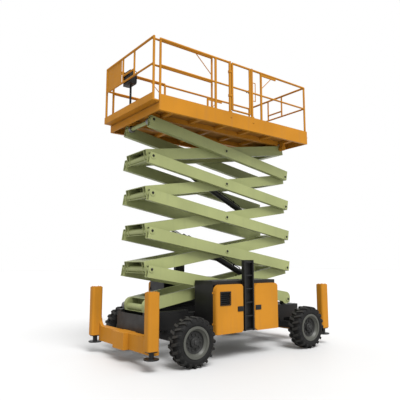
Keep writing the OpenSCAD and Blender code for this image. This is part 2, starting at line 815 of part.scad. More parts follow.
// Steering knuckle with its pin, spindle and steering arm; the right one is its mirror image
module knuckle_left() {
    pin_over = fork_t - 2;
    collar_end = wheel_y - 20;
    color(black) translate([axle_x, kingpin_y, axle_z]) difference() {
        union() {
            translate([0, 0, -knuckle_h / 2]) cylinder(d = kingpin_boss_d, h = knuckle_h);
            translate([0, 0, -knuckle_h / 2 - pin_over])
                cylinder(d = kingpin_d, h = knuckle_h + 2 * pin_over);
            y_rod(spindle_d, 0, wheel_y + spindle_out - kingpin_y);
            y_rod(spindle_d + 30, 0, collar_end - kingpin_y);
            block([-steer_arm_l, -steer_arm_w / 2, -steer_arm_low],
                  [0, steer_arm_w / 2, steer_arm_t - steer_arm_low]);
            translate([-steer_arm_l, 0, -steer_arm_low]) cylinder(d = steer_arm_w, h = steer_arm_t);
        }
        translate([-steer_arm_l, 0, -steer_arm_low - past])
            cylinder(d = tie_pin_d + 2 * fit, h = steer_arm_t + 2 * past);
    }
}
module knuckle_right() {
    mirror([0, 1, 0]) knuckle_left();
}
module tie_rod() {
    end_d = 36;
    end_h = 30;
    tube_d = 26;
    low_z = axle_z - steer_arm_low;
    rod_z = low_z + steer_arm_t + seat;
    color(steel) translate([axle_x - steer_arm_l, 0, 0]) both_sides() {
        translate([0, kingpin_y, low_z]) cylinder(d = tie_pin_d, h = steer_arm_t + end_h / 2);
        translate([0, kingpin_y, rod_z]) cylinder(d = end_d, h = end_h);
        translate([0, 0, rod_z + end_h / 2]) y_rod(tube_d, 0, kingpin_y);
    }
}

// Wheels: end and side are +1 for front and left
module at_wheel(end, side) {
    translate([end * axle_x, side * wheel_y, axle_z]) rotate([-90 * side, 0, 0]) children();
}
// Rim: revolved about the wheel's axis, with +Z towards the outside
module rim(end, side) {
    barrel_t = 12;
    lip_t = 12;
    half = tyre_w / 2 - lip_t;
    in_r = rim_r - barrel_t;
    dish_r = in_r - 34;
    disc_t = 14;
    disc_z = tyre_w / 6;
    hub_d = spindle_d + 100;
    hub_l = 100;
    hub_z = disc_z - 60;
    color(rim_grey) at_wheel(end, side) difference() {
        union() {
            rotate_extrude() {
                translate([in_r, -half]) square([barrel_t, 2 * half]);
                for (z = [-half, half - lip_t]) translate([in_r, z]) square([barrel_t + rim_lip, lip_t]);
                polygon([
                    [in_r + past, half - lip_t], [dish_r, disc_z + 2 * disc_t], [dish_r - disc_t, disc_z],
                    [hub_d / 2 - past, disc_z], [hub_d / 2 - past, disc_z - disc_t],
                    [dish_r, disc_z - disc_t],
                    [dish_r + disc_t, disc_z + disc_t], [in_r + past, half - lip_t - 2 * disc_t]
                ]);
            }
            translate([0, 0, hub_z]) cylinder(d = hub_d, h = hub_l);
        }
        translate([0, 0, -tyre_w]) cylinder(d = spindle_d + 2 * fit, h = tyre_w + spindle_out + past);
    }
}
// Tyre: a revolved carcass with two rows of slanted lugs, staggered by half a pitch
module tyre(end, side) {
    half = tyre_w / 2;
    bead_z = half - 26;
    flange_r = rim_r + rim_lip + 2;
    side_r = flange_r + 16;
    side_z = half - 6;
    shoulder_r = tread_r - 40;
    shoulder_z = half - 34;
    color(rubber) at_wheel(end, side) {
        rotate_extrude() polygon([
            [rim_r + 2 * fit, -bead_z], [flange_r, -bead_z], [side_r, -side_z], [shoulder_r, -side_z],
            [tread_r, -shoulder_z], [tread_r, shoulder_z], [shoulder_r, side_z], [side_r, side_z],
            [flange_r, bead_z], [rim_r + 2 * fit, bead_z]
        ]);
        intersection() {
            for (i = [0 : lug_n - 1], row = [0, 1])
                rotate([0, 0, (i + row / 2) * 360 / lug_n]) mirror([0, 0, row]) lug();
            translate([0, 0, -half]) cylinder(r = tyre_r, h = tyre_w);
        }
    }
}
// One lug of the outer row, from just over the tyre's middle down over the shoulder
module lug() {
    half = tyre_w / 2;
    root_r = tread_r - 20;
    end_r = tread_r - 60;
    translate([0, 0, half / 2]) rotate([lug_slant, 0, 0]) translate([0, lug_w / 2, -half / 2])
        rotate([90, 0, 0]) linear_extrude(lug_w) polygon([
            [root_r, -10], [tyre_r + 5, -10], [tyre_r + 5, half - 45], [tyre_r - 14, half - 14],
            [tread_r - 16, half + 5], [end_r, half + 5], [end_r, half - 20], [root_r, half - 50]
        ]);
}

// Levelling jacks: each beam carries a housing at both ends
module jack_beams() {
    box_half_w = 187;
    box_out = 90;
    box_over = 10;
    beam_x = chassis_half_l + end_plate_t;
    color(orange) for (end = [0, 1]) mirror([end, 0, 0]) {
        block([beam_x, -beam_half_w, beam_z0], [beam_front, beam_half_w, beam_z1]);
        block([beam_x, -box_half_w, beam_z0 - box_over],
              [beam_front + box_out, box_half_w, beam_z1 + box_over]);
        both_sides() {
            jack_housing();
            jack_gusset();
        }
    }
}
// Rectangle with round corners, about its middle
module round_plan(l, w, r) {
    square([l - 2 * r, w], center = true);
    square([l, w - 2 * r], center = true);
    for (x = [-1, 1], y = [-1, 1]) translate([x * (l / 2 - r), y * (w / 2 - r)]) circle(r = r);
}
module jack_housing() {
    h = jack_z1 - jack_z0;
    translate([jack_x, jack_y, jack_z0]) difference() {
        linear_extrude(h) round_plan(jack_l, jack_w, jack_round);
        translate([0, 0, -past]) linear_extrude(h - jack_wall + past)
            round_plan(jack_l - 2 * jack_wall, jack_w - 2 * jack_wall, jack_round - jack_wall);
    }
}
// Web with a hollow edge between the beam and the side of the housing
module jack_gusset() {
    size = 140;
    translate([beam_front, beam_half_w, beam_z1]) rotate([90, 0, -90])
        linear_extrude(beam_front - jack_x + jack_l / 2) difference() {
            translate([0, -past]) square([size, size + past]);
            translate([size, size]) circle(r = size);
        }
}
module jack_leg(end, side) {
    leg_h = 610;
    leg_out = 20;
    pad_t = 20;
    stem_d = 80;
    color(steel) translate([end * jack_x, side * jack_y, 0]) {
        translate([0, 0, jack_z0 - leg_out]) linear_extrude(leg_h)
            round_plan(leg_l, leg_w, jack_round - jack_wall - guide);
        translate([0, 0, pad_z]) cylinder(d = pad_d, h = pad_t);
        translate([0, 0, pad_z + pad_t - past]) cylinder(d = stem_d, h = jack_z0 - pad_z - pad_t);
    }
}

// Side boxes with their doors and ladders
module side_boxes() {
    color(black) both_sides() {
        difference() {
            block([box_x0, box_y0, box_z0], [box_x1, box_y1, box_z1]);
            block([box_x0 + box_wall, box_y0 + box_wall, box_z0 + box_wall],
                  [box_x1 - box_wall, box_y1 - box_wall, box_z1 - box_wall]);
            block([box_x0 + box_wall, box_y1 - box_wall - past, box_z0 + box_wall],
                  [box_x1 - box_wall, box_y1 + past, box_z0 + door_h - box_wall]);
        }
        block([bay_x0, box_y1 - box_wall, box_z0], [bay_x1, box_y1, box_z1]);
        for (end = [0, 1], z = hinge_heights()) hinge_on(end, z) {
            cylinder(d = hinge_d, h = hinge_h);
            cylinder(d = hinge_pin_d, h = 2 * hinge_h - 2);
            block([-hinge_out - past, -hinge_leaf_l, 0], [hinge_leaf - hinge_out, 0, hinge_h]);
        }
    }
}
function hinge_heights() = [box_z0 + 120, box_z0 + door_h - 180];
// Hinge line of a left door, with local +X pointing away from the box's end
module hinge_on(end, z) {
    x = end == 1 ? box_x1 + hinge_out : box_x0 - hinge_out;
    translate([x, hinge_y, z]) mirror([1 - end, 0, 0]) children();
}
// Plan of a door cover, open towards the box, with round outer edges
module door_plan(w, d, r) {
    square([w, d - r]);
    translate([r, 0]) square([w - 2 * r, d]);
    for (x = [r, w - r]) translate([x, d - r]) circle(r = r);
}
// Side view of a door from its hinge end: one round top corner, cut corners beside the ladder
module door_side(w, h, r) {
    polygon([
        [0, 0], [w - door_cut, 0], [w, door_cut], [w, h - door_cut], [w - door_cut, h],
        [r, h], [r, h - r], [0, h - r]
    ]);
    translate([r, h - r]) circle(r = r);
}
// Body of a door, less by the given margin on every side but the open one
module door_body(w, less) {
    h = door_h - 2 * less;
    d = door_depth - less;
    translate([less, 0, less]) intersection() {
        linear_extrude(h) door_plan(w - 2 * less, d, door_round - less);
        translate([0, d + past, 0]) rotate([90, 0, 0])
            linear_extrude(d + 2 * past) door_side(w - 2 * less, h, door_corner - less);
    }
}
module door(end, side) {
    w = end == 1 ? box_x1 - bay_x1 - door_bay_gap : bay_x0 - door_bay_gap - box_x0;
    color(orange) mirror([0, side == 1 ? 0 : 1, 0]) {
        translate([end == 1 ? box_x1 : box_x0, door_y0, box_z0]) mirror([end, 0, 0]) {
            difference() {
                door_body(w, 0);
                door_body(w, box_wall);
                translate([box_wall, -past, box_wall])
                    cube([w - 2 * box_wall, 2 * past, door_h - 2 * box_wall - door_corner]);
                if (end == 1) translate([vent_in, door_depth / 2, vent_z])
                    cube([vent_w, door_depth, vent_h]);
            }
            if (end == 1) louvres();
        }
        for (z = hinge_heights()) hinge_on(end, z + hinge_h + seat) difference() {
            union() {
                cylinder(d = hinge_d, h = hinge_h - seat);
                block([-hinge_out - past, door_gap, 0],
                      [hinge_leaf - hinge_out, hinge_leaf_l, hinge_h - seat]);
                block([-hinge_out, 0, 0], [hinge_leaf - hinge_out, door_gap + past, hinge_h - seat]);
            }
            translate([0, 0, -past]) cylinder(d = hinge_pin_d + 2 * fit, h = hinge_h + 2 * past);
        }
    }
}
// Sloped blades in the front door's vent
module louvres() {
    blades = 6;
    blade_t = 3;
    blade_l = 36;
    blade_slope = 35;
    step = vent_h / blades;
    for (i = [0 : blades - 1])
        translate([vent_in - past, door_depth - box_wall, vent_z + (i + 0.5) * step])
            rotate([-blade_slope, 0, 0]) translate([0, -blade_t / 2, -blade_l / 2])
                cube([vent_w + 2 * past, blade_t, blade_l]);
}
// Ladders of two deep side rails with a closed back
module ladders() {
    rail_t = 25;
    rail_deep = 75;
    back_t = 4;
    rung_d = 28;
    rung_in = 24;
    foot_up = 10;
    first_rung = 17;
    top_room = 20;
    bracket_h = 60;
    bracket_z = [box_z0 + 160, box_z1 - 110];
    side_gap = 6;
    x0 = bay_x0 + side_gap;
    x1 = bay_x1 - side_gap;
    y0 = door_y1 - rail_deep;
    z0 = box_z0 + foot_up;
    color(black) both_sides() {
        for (x = [x0, x1 - rail_t]) {
            block([x, y0, z0], [x + rail_t, y0 + rail_deep, ladder_top]);
            for (z = bracket_z) block([x, box_y1, z], [x + rail_t, y0 + past, z + bracket_h]);
        }
        block([x0 + past, y0, z0], [x1 - past, y0 + back_t, ladder_top]);
        for (z = [z0 + first_rung : rung_step : ladder_top - top_room])
            translate([0, y0 + rail_deep - rung_in, z]) x_rod(rung_d, x0 + past, x1 - past);
    }
}
module engine() {
    color(steel) block([engine_x - engine_half_l, box_y0 + inside_gap, box_z0 + box_wall],
                       [engine_x + engine_half_l, box_y1 - engine_front, box_z0 + engine_h]);
}
module tank() {
    color(black) mirror([0, 1, 0])
        block([tank_x - tank_half_l, box_y0 + inside_gap, box_z0 + box_wall],
              [tank_x + tank_half_l, box_y1 - tank_front, box_z0 + tank_h]);
}

chassis_frame();
cross_members();
jack_beams();
axle_front();
axle_rear();
side_boxes();
ladders();
engine();
tank();
knuckle_left();
knuckle_right();
tie_rod();
rim(1, 1);  // rim_front_left
rim(1, -1);  // rim_front_right
rim(-1, 1);  // rim_rear_left
rim(-1, -1);  // rim_rear_right
tyre(1, 1);  // tyre_front_left
tyre(1, -1);  // tyre_front_right
tyre(-1, 1);  // tyre_rear_left
tyre(-1, -1);  // tyre_rear_right
jack_leg(1, 1);  // jack_leg_front_left
jack_leg(1, -1);  // jack_leg_front_right
jack_leg(-1, 1);  // jack_leg_rear_left
jack_leg(-1, -1);  // jack_leg_rear_right
door(1, 1);  // door_front_left
door(1, -1);  // door_front_right
door(0, 1);  // door_rear_left
door(0, -1);  // door_rear_right
for (k = [1 : pairs]) outer_frame(k);
for (k = [1 : pairs]) inner_frame(k);
rollers_low();
rollers_top();
barrel(1);  // barrel_low
rod(1);  // rod_low
barrel(3);  // barrel_high
rod(3);  // rod_high
platform_skirts();
platform_beams();
platform_deck();
rails_left();
rails_right();
rails_rear();
gate();
extension_deck();
front_rails();
front_side_rails();
control_box();
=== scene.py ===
"""Looks of a rough-ground scissor lift: paint, tyres and fittings around its solid frame."""

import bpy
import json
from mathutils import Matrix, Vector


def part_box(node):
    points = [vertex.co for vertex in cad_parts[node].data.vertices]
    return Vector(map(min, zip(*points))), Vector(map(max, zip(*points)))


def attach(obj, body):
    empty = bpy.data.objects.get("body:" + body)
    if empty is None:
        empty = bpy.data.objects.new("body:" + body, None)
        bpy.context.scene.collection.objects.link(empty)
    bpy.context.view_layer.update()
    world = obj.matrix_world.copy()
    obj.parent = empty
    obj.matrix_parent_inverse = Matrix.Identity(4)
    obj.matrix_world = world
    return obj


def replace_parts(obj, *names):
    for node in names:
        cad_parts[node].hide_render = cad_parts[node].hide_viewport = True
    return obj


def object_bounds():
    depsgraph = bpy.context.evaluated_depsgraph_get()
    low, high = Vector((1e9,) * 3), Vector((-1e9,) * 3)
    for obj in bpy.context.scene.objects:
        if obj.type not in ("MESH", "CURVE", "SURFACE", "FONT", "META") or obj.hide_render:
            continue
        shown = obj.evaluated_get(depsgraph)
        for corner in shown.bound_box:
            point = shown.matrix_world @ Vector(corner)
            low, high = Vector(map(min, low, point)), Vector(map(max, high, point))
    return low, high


bl_info = {
    "name": "Scissor lift looks",
    "version": (1, 0, 0),
    "blender": (4, 5, 0),
    "location": "View3D > Sidebar > Scissor lift",
    "description": "Dresses a scissor lift's frame with paint, lugged tyres, hubs and fittings",
    "category": "Object",
}

import json
import math

import bmesh
import bpy
from bpy.props import FloatProperty, FloatVectorProperty, IntProperty, PointerProperty
from mathutils import Matrix, Vector

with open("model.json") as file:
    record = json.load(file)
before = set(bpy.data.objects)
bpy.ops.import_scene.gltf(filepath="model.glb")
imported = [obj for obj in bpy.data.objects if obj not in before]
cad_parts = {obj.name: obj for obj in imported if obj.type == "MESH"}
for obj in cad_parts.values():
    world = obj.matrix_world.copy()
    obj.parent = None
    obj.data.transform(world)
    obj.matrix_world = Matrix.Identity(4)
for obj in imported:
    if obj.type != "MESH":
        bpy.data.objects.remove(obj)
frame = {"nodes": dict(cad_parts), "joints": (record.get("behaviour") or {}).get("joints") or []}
CAD_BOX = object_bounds()

PIVOT = {joint["name"]: Vector(joint["pos_m"]) for joint in frame["joints"] if joint["type"] == "hinge"}
AXIS = {joint["name"]: Vector(joint["axis"]) for joint in frame["joints"]}
PAIRS = sum(name.startswith("outer_") for name in frame["nodes"])
ENDS = ("front", "rear")
SIDES = {"left": 1.0, "right": -1.0}
CORNERS = [(end, side) for end in ENDS for side in SIDES]
FULL_TURN = 2 * math.pi
UP = Vector((0, 0, 1))

# Places on the solids that their boxes don't tell, in metres
# From a rim's edge in to the tyre's bead, and in to the dish
RIM_LIP, RIM_RING = 0.028, 0.072
# From a door's end out to its hinge, and the vent of a front door: from that end, width, height, from the top
HINGE_OUT = 0.008
VENT_IN, VENT_W, VENT_H, VENT_DROP = 0.090, 0.210, 0.204, 0.330
# Roll-out deck: its top over its underside, and half its width
DECK_SHEET, EXTENSION_HALF_W = 0.0283, 0.813
# Guard rails: radii, place of the gate's rear post, and from the gate's posts to the next
RAIL_R, POST_R = 0.021, 0.023
GATE_REAR, FRONT_BAY, REAR_BAY = -0.255, 0.347, 0.255
# Console: its height, and the share of it under the slope
CONTROL_BOX_H, SLOPE_FOOT = 0.250, 0.6
# Lift cylinders: from the foot pin to the barrel's end
BARREL_R, BARREL_L = 0.055, 1.740


# Sizes and colours that a user would change

def colour_property(name, description, default):
    """A paint colour, in linear light."""
    return FloatVectorProperty(
        name=name, description=description, default=default, subtype="COLOR", size=3, min=0, max=1
    )


def length_property(name, description, default):
    """A length in metres."""
    return FloatProperty(
        name=name, description=description, default=default, min=0, subtype="DISTANCE", unit="LENGTH"
    )


class LiftPaint(bpy.types.PropertyGroup):
    """Colours of the machine."""

    orange: colour_property("Orange", "Platform, jacks and doors", (0.37, 0.155, 0.015))
    olive: colour_property("Olive", "Scissor arms", (0.240, 0.262, 0.112))
    black: colour_property("Black", "Chassis, side boxes and ladders", (0.006, 0.006, 0.006))
    rubber: colour_property("Rubber", "Tyres", (0.007, 0.007, 0.007))
    rim: colour_property("Rim", "Wheel rims", (0.057, 0.058, 0.049))
    # The hub colour is also laid in the rim's dish, where its darkness is partly painted shade
    hub: colour_property("Hub", "Wheel discs and hubs", (0.018, 0.018, 0.017))
    steel: colour_property("Steel", "Cylinder rods, tie rod, rollers and engine", (0.42, 0.42, 0.43))
    stop_red: colour_property("Stop button", "Emergency stop on the control box", (0.55, 0.02, 0.015))


class LiftTyre(bpy.types.PropertyGroup):
    """Tread of the tyres."""

    lug_count: IntProperty(
        name="Lugs", description="Lugs in each shoulder row", default=20, min=8, max=40
    )
    lug_depth: length_property("Lug depth", "Height of the lugs over the carcass", 0.026)
    lug_width: length_property("Lug width", "Width of a lug at its tip", 0.042)
    lug_slant: FloatProperty(
        name="Slant", description="Turn of a lug from the middle to the shoulder",
        default=math.radians(6), subtype="ANGLE",
    )


class LiftFittings(bpy.types.PropertyGroup):
    """Sizes of small fittings."""

    edge: length_property("Soft edge", "Rounding of the plate and tube edges", 0.004)
    bolt: length_property("Bolt", "Width across flats of the bolt heads", 0.024)
    weld: length_property("Weld", "Half width of the weld beads", 0.006)
    tread_pitch: length_property("Tread pitch", "Spacing of the lozenges on the decks", 0.062)
    tread_height: length_property("Tread height", "Height of the lozenges", 0.002)
    pipe: length_property("Pipe", "Diameter of the oil pipes on the lift cylinders", 0.018)
    wire: length_property("Wire", "Diameter of the guard loops round the control box", 0.012)
    plate: length_property("Plate", "Thickness of the foot and cover plates", 0.008)


class LiftStage(bpy.types.PropertyGroup):
    """Camera and studio."""

    camera: FloatVectorProperty(
        name="Camera", description="Place of the camera", default=(5.756, 7.027, 1.653),
        subtype="TRANSLATION", size=3,
    )
    heading: FloatVectorProperty(
        name="Heading", description="Direction that the camera looks in",
        default=(-0.60317, -0.78659, 0.13213), subtype="DIRECTION", size=3,
    )
    lens: FloatProperty(name="Lens", description="Focal length in millimetres", default=40.98, min=1)
    floor: colour_property("Floor", "Pale studio floor", (0.52, 0.52, 0.52))
    sky: FloatProperty(name="Sky", description="Brightness of the white surroundings", default=1.0, min=0)
    key: FloatProperty(name="Key light", description="Strength of the far, wide light", default=4.2, min=0)
    key_from: FloatVectorProperty(
        name="Key from", description="Direction that the key light comes from", default=(0.12, 0.58, 0.80),
        subtype="DIRECTION", size=3,
    )
    key_spread: FloatProperty(
        name="Key spread", description="Width of the key light as seen from the machine",
        default=math.radians(32), subtype="ANGLE",
    )


PROPERTY_GROUPS = {
    "lift_paint": LiftPaint,
    "lift_tyre": LiftTyre,
    "lift_fittings": LiftFittings,
    "lift_stage": LiftStage,
}


# Finishes

DUST = (0.026, 0.025, 0.023)
# Most values of noise lie between these
COMMON_NOISE = (0.3, 0.7)


class Finish:
    """A material laid down by short calls, in the place of the frame's plain one of that name."""

    def __init__(self, name):
        plain = bpy.data.materials.get(name)
        self.material = bpy.data.materials.new(name)
        if plain:
            plain.user_remap(self.material)
            bpy.data.materials.remove(plain)
            self.material.name = name
        self.material.use_nodes = True
        self.nodes = self.material.node_tree.nodes
        self.links = self.material.node_tree.links
        self.shader = self.nodes["Principled BSDF"]
        self.place = self.add("ShaderNodeTexCoord").outputs["Object"]

    def add(self, kind, **settings):
        node = self.nodes.new(kind)
        for key, value in settings.items():
            setattr(node, key, value)
        return node

    def join(self, source, target):
        self.links.new(source, target)

    def noise(self, scale, detail, stretch=(1, 1, 1)):
        """Noise of that many features a metre, finer along the axes that are stretched."""
        mapping = self.add("ShaderNodeMapping")
        mapping.inputs["Scale"].default_value = stretch
        self.join(self.place, mapping.inputs["Vector"])
        node = self.add("ShaderNodeTexNoise")
        node.inputs["Scale"].default_value = scale
        node.inputs["Detail"].default_value = detail
        self.join(mapping.outputs["Vector"], node.inputs["Vector"])
        return node.outputs["Fac"]

    def spread(self, value, low, high, to_low=0.0, to_high=1.0):
        """Value between low and high, as a number between to_low and to_high."""
        node = self.add("ShaderNodeMapRange")
        settings = {"From Min": low, "From Max": high, "To Min": to_low, "To Max": to_high}
        for socket, number in settings.items():
            node.inputs[socket].default_value = number
        self.join(value, node.inputs["Value"])
        return node.outputs["Result"]

    def mottle(self, scale, detail, to_low=0.0, to_high=1.0):
        """Noise, with all but its rare values spread between to_low and to_high."""
        return self.spread(self.noise(scale, detail), *COMMON_NOISE, to_low, to_high)

    def from_axle(self):
        """Distance from the object's own Z axis."""
        flat = self.add("ShaderNodeMapping")
        flat.inputs["Scale"].default_value = (1, 1, 0)
        self.join(self.place, flat.inputs["Vector"])
        distance = self.add("ShaderNodeVectorMath", operation="LENGTH")
        self.join(flat.outputs["Vector"], distance.inputs[0])
        return distance.outputs["Value"]

    def times(self, a, b):
        node = self.add("ShaderNodeMath", operation="MULTIPLY")
        self.join(a, node.inputs[0])
        self.join(b, node.inputs[1])
        return node.outputs["Value"]

    def blend(self, share, first, second):
        """Two colours, each a tuple or a socket, mixed by share."""
        node = self.add("ShaderNodeMix", data_type="RGBA")
        self.join(share, node.inputs["Factor"])
        for socket, colour in ((node.inputs[6], first), (node.inputs[7], second)):
            if isinstance(colour, tuple):
                socket.default_value = (*colour, 1.0)
            else:
                self.join(colour, socket)
        return node.outputs[2]

    def edges(self, radius):
        """1 on edges that stand proud or sink in by about radius, 0 on flat faces."""
        rounded = self.add("ShaderNodeBevel", samples=4)
        rounded.inputs["Radius"].default_value = radius
        flat = self.add("ShaderNodeNewGeometry")
        alike = self.add("ShaderNodeVectorMath", operation="DOT_PRODUCT")
        self.join(rounded.outputs["Normal"], alike.inputs[0])
        self.join(flat.outputs["Normal"], alike.inputs[1])
        flat_over, edge_under = 0.995, 0.90
        return self.spread(alike.outputs["Value"], flat_over, edge_under)

    def bump(self, height, depth, strength):
        node = self.add("ShaderNodeBump")
        node.inputs["Strength"].default_value = strength
        node.inputs["Distance"].default_value = depth
        self.join(height, node.inputs["Height"])
        self.join(node.outputs["Normal"], self.shader.inputs["Normal"])

    def colour(self, source):
        self.join(source, self.shader.inputs["Base Color"])

    def roughness(self, source):
        self.join(source, self.shader.inputs["Roughness"])

    def shine(self, level):
        self.shader.inputs["Specular IOR Level"].default_value = level


def shade(colour, factor):
    """The colour, darker or lighter, as a tuple."""
    return tuple(min(1.0, channel * factor) for channel in colour)


def toward_grey(colour, share):
    """The colour, faded towards its own grey."""
    grey = sum(colour) / len(colour)
    return tuple(channel + (grey - channel) * share for channel in colour)


# The first values named in each finish are features a metre

def sprayed_paint(name, colour, rough, wear_and_edge_highlight=0.35, shine=0.28):
    """Sprayed steel: cloudy tone, fine peel, faint run-off streaks, and paler edges, partly worn paint and
    partly a painted highlight.
    """
    clouds, streaks, rubs, gloss, peel = 1.4, 3.0, 24.0, 7.0, 420.0
    downward, edge_w, peel_depth = (4, 4, 0.35), 0.006, 0.0006
    finish = Finish(name)
    colour = tuple(colour)
    tone = finish.spread(finish.noise(clouds, 5.0), 0.32, 0.68)
    body = finish.blend(tone, shade(colour, 0.90), shade(colour, 1.06))
    streak = finish.spread(finish.noise(streaks, 6.0, downward), 0.55, 0.80, to_high=0.30)
    body = finish.blend(streak, body, shade(toward_grey(colour, 0.25), 0.72))
    # Paler edges in patches: partly worn paint, partly a painted highlight along the edges
    patchy = finish.spread(finish.noise(rubs, 8.0), 0.35, 0.65, to_high=wear_and_edge_highlight)
    worn_and_highlit = finish.times(finish.edges(edge_w), patchy)
    finish.colour(finish.blend(worn_and_highlit, body, shade(toward_grey(colour, 0.35), 1.35)))
    finish.roughness(finish.mottle(gloss, 6.0, rough - 0.06, rough + 0.10))
    finish.bump(finish.noise(peel, 3.0), peel_depth, strength=0.25)
    finish.shine(shine)
    return finish.material


def bare_steel(name, colour, rough):
    """Machined or ground steel with fine marks."""
    clouds, scratches = 9.0, 260.0
    scratch_depth = 0.0003
    finish = Finish(name)
    colour = tuple(colour)
    finish.colour(finish.blend(finish.mottle(clouds, 5.0), shade(colour, 0.82), shade(colour, 1.1)))
    marks = finish.noise(scratches, 4.0)
    finish.roughness(finish.spread(marks, *COMMON_NOISE, rough - 0.05, rough + 0.10))
    finish.bump(marks, scratch_depth, strength=0.3)
    finish.shader.inputs["Metallic"].default_value = 1.0
    return finish.material


def moulded_rubber(name, colour, tip_r):
    """Tyre rubber: matt, with moulding grain, pale dust in blotches, and paler lug edges and lug tops, partly
    scuffing and partly a painted highlight.
    """
    clouds, blotches, grain = 3.0, 11.0, 520.0
    pale_tip_from, pale_tip_to, edge_w, grain_depth = 0.014, 0.003, 0.010, 0.0012
    finish = Finish(name)
    colour = tuple(colour)
    # Lug tops paler by radius: partly scuffing, partly a painted highlight where light falls on them
    worn_and_lit_tips = finish.spread(finish.from_axle(), tip_r - pale_tip_from, tip_r - pale_tip_to, to_high=0.7)
    dust = finish.spread(finish.noise(blotches, 7.0), 0.48, 0.78, to_high=0.30)
    body = finish.blend(finish.mottle(clouds, 4.0), shade(colour, 0.8), shade(colour, 1.2))
    # Lug edges paler: partly dust, partly a painted highlight
    edges = finish.spread(finish.edges(edge_w), 0.0, 1.0, to_high=0.5)
    body = finish.blend(edges, body, shade(DUST, 1.4))
    body = finish.blend(worn_and_lit_tips, body, shade(DUST, 1.5))
    finish.colour(finish.blend(dust, body, DUST))
    finish.roughness(finish.spread(dust, 0.0, 0.45, to_low=0.62, to_high=0.9))
    finish.bump(finish.noise(grain, 5.0), grain_depth, strength=0.35)
    finish.shine(0.14)
    return finish.material


def moulded_plastic(name, colour, rough):
    """Moulded plastic with a leathery grain."""
    clouds, gloss, cells = 6.0, 18.0, 700.0
    grain_depth = 0.0004
    finish = Finish(name)
    colour = tuple(colour)
    finish.colour(finish.blend(finish.mottle(clouds, 4.0), shade(colour, 0.85), shade(colour, 1.12)))
    grain = finish.add("ShaderNodeTexVoronoi")
    grain.inputs["Scale"].default_value = cells
    finish.join(finish.place, grain.inputs["Vector"])
    finish.roughness(finish.mottle(gloss, 5.0, rough - 0.05, rough + 0.08))
    finish.bump(grain.outputs["Distance"], grain_depth, strength=0.3)
    finish.shine(0.2)
    return finish.material


def pale_floor(name, colour):
    """Matt studio floor with a hardly seen mottle."""
    clouds = 0.6
    finish = Finish(name)
    colour = tuple(colour)
    finish.colour(finish.blend(finish.mottle(clouds, 3.0), shade(colour, 0.985), shade(colour, 1.0)))
    finish.shader.inputs["Roughness"].default_value = 0.55
    finish.shine(0.25)
    return finish.material


def make_finishes(paint):
    """Every finish of the machine, by name. All but the hub's are slots in the record."""
    axle, tyre_high = middle("tyre_front_left"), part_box("tyre_front_left")[1]
    # Deck plate: the orange a little greyer, and a fifth darker as painted shade for the deck's dark
    # underside
    greyed_and_shaded_orange = shade(toward_grey(paint.orange, 0.1), 0.8)
    return {
        "orange_paint": sprayed_paint("orange_paint", paint.orange, rough=0.44, shine=0.05),
        "olive_paint": sprayed_paint("olive_paint", paint.olive, rough=0.42, shine=0.2),
        "black_paint": sprayed_paint("black_paint", paint.black, rough=0.40, wear_and_edge_highlight=0.8),
        "deck_plate": sprayed_paint("deck_plate", greyed_and_shaded_orange, rough=0.6, wear_and_edge_highlight=0.6, shine=0.02),
        "rim_paint": sprayed_paint("rim_paint", paint.rim, rough=0.40, wear_and_edge_highlight=0.5),
        "hub_paint_and_dish_shade": sprayed_paint("hub_paint_and_dish_shade", paint.hub, rough=0.48, wear_and_edge_highlight=0.5),
        "plain_steel": bare_steel("plain_steel", paint.steel, rough=0.36),
        "rod_steel": bare_steel("rod_steel", shade(paint.steel, 1.6), rough=0.16),
        "engine_iron": bare_steel("engine_iron", shade(paint.steel, 0.5), rough=0.55),
        "tyre_rubber": moulded_rubber("tyre_rubber", paint.rubber, tyre_high.z - axle.z),
        "tank_plastic": moulded_plastic("tank_plastic", shade(paint.black, 1.6), rough=0.5),
        "control_plastic": moulded_plastic("control_plastic", shade(paint.black, 1.4), rough=0.45),
    }


# Finish of each solid, by the start of its name
NODE_FINISH = {
    "chassis": "black_paint",
    "cross_members": "black_paint",
    "jack_beams": "orange_paint",
    "jack_leg": "black_paint",
    "axle": "black_paint",
    "side_boxes": "black_paint",
    "ladders": "black_paint",
    "engine": "engine_iron",
    "tank": "tank_plastic",
    "knuckle": "black_paint",
    "tie_rod": "plain_steel",
    "rim": "rim_paint",
    "tyre": "tyre_rubber",
    "door": "orange_paint",
    "outer": "olive_paint",
    "inner": "olive_paint",
    "rollers": "engine_iron",
    "barrel": "black_paint",
    "rod": "rod_steel",
    "platform_deck": "deck_plate",
    "platform": "orange_paint",
    "rails": "orange_paint",
    "extension": "orange_paint",
    "front": "orange_paint",
    "gate": "orange_paint",
    "control": "control_plastic",
}


def finish_of(node):
    """Slot name of a solid's finish; the longest fitting start wins."""
    fitting = [start for start in NODE_FINISH if node.startswith(start)]
    return NODE_FINISH[max(fitting, key=len)]


# Shapes

def toward(point, direction):
    """Matrix that puts local +Z along direction, at point."""
    turn = Vector(direction).to_track_quat("Z", "Y").to_matrix().to_4x4()
    return Matrix.Translation(point) @ turn


def circle(count):
    """Unit spokes evenly round the Z axis."""
    turns = (FULL_TURN * i / count for i in range(count))
    return [Vector((math.cos(turn), math.sin(turn), 0)) for turn in turns]


def skin(bm, rows, around=False, back=False):
    """Faces between neighbouring rows of points.
    Around closes each row to a ring; back joins the last row to the first."""
    for here, there in zip(rows, rows[1:] + (rows[:1] if back else [])):
        count = len(here)
        for i in range(count if around else count - 1):
            after = (i + 1) % count
            bm.faces.new((here[i], here[after], there[after], there[i]))


def lathe(bm, profile, place, segments=48):
    """Revolves (radius, height) points about place's Z axis."""
    rows = [[bm.verts.new(place @ (spoke * r + UP * h)) for r, h in profile] for spoke in circle(segments)]
    skin(bm, rows[::-1], back=True)
    bmesh.ops.remove_doubles(bm, verts=[v for row in rows for v in row], dist=1e-6)


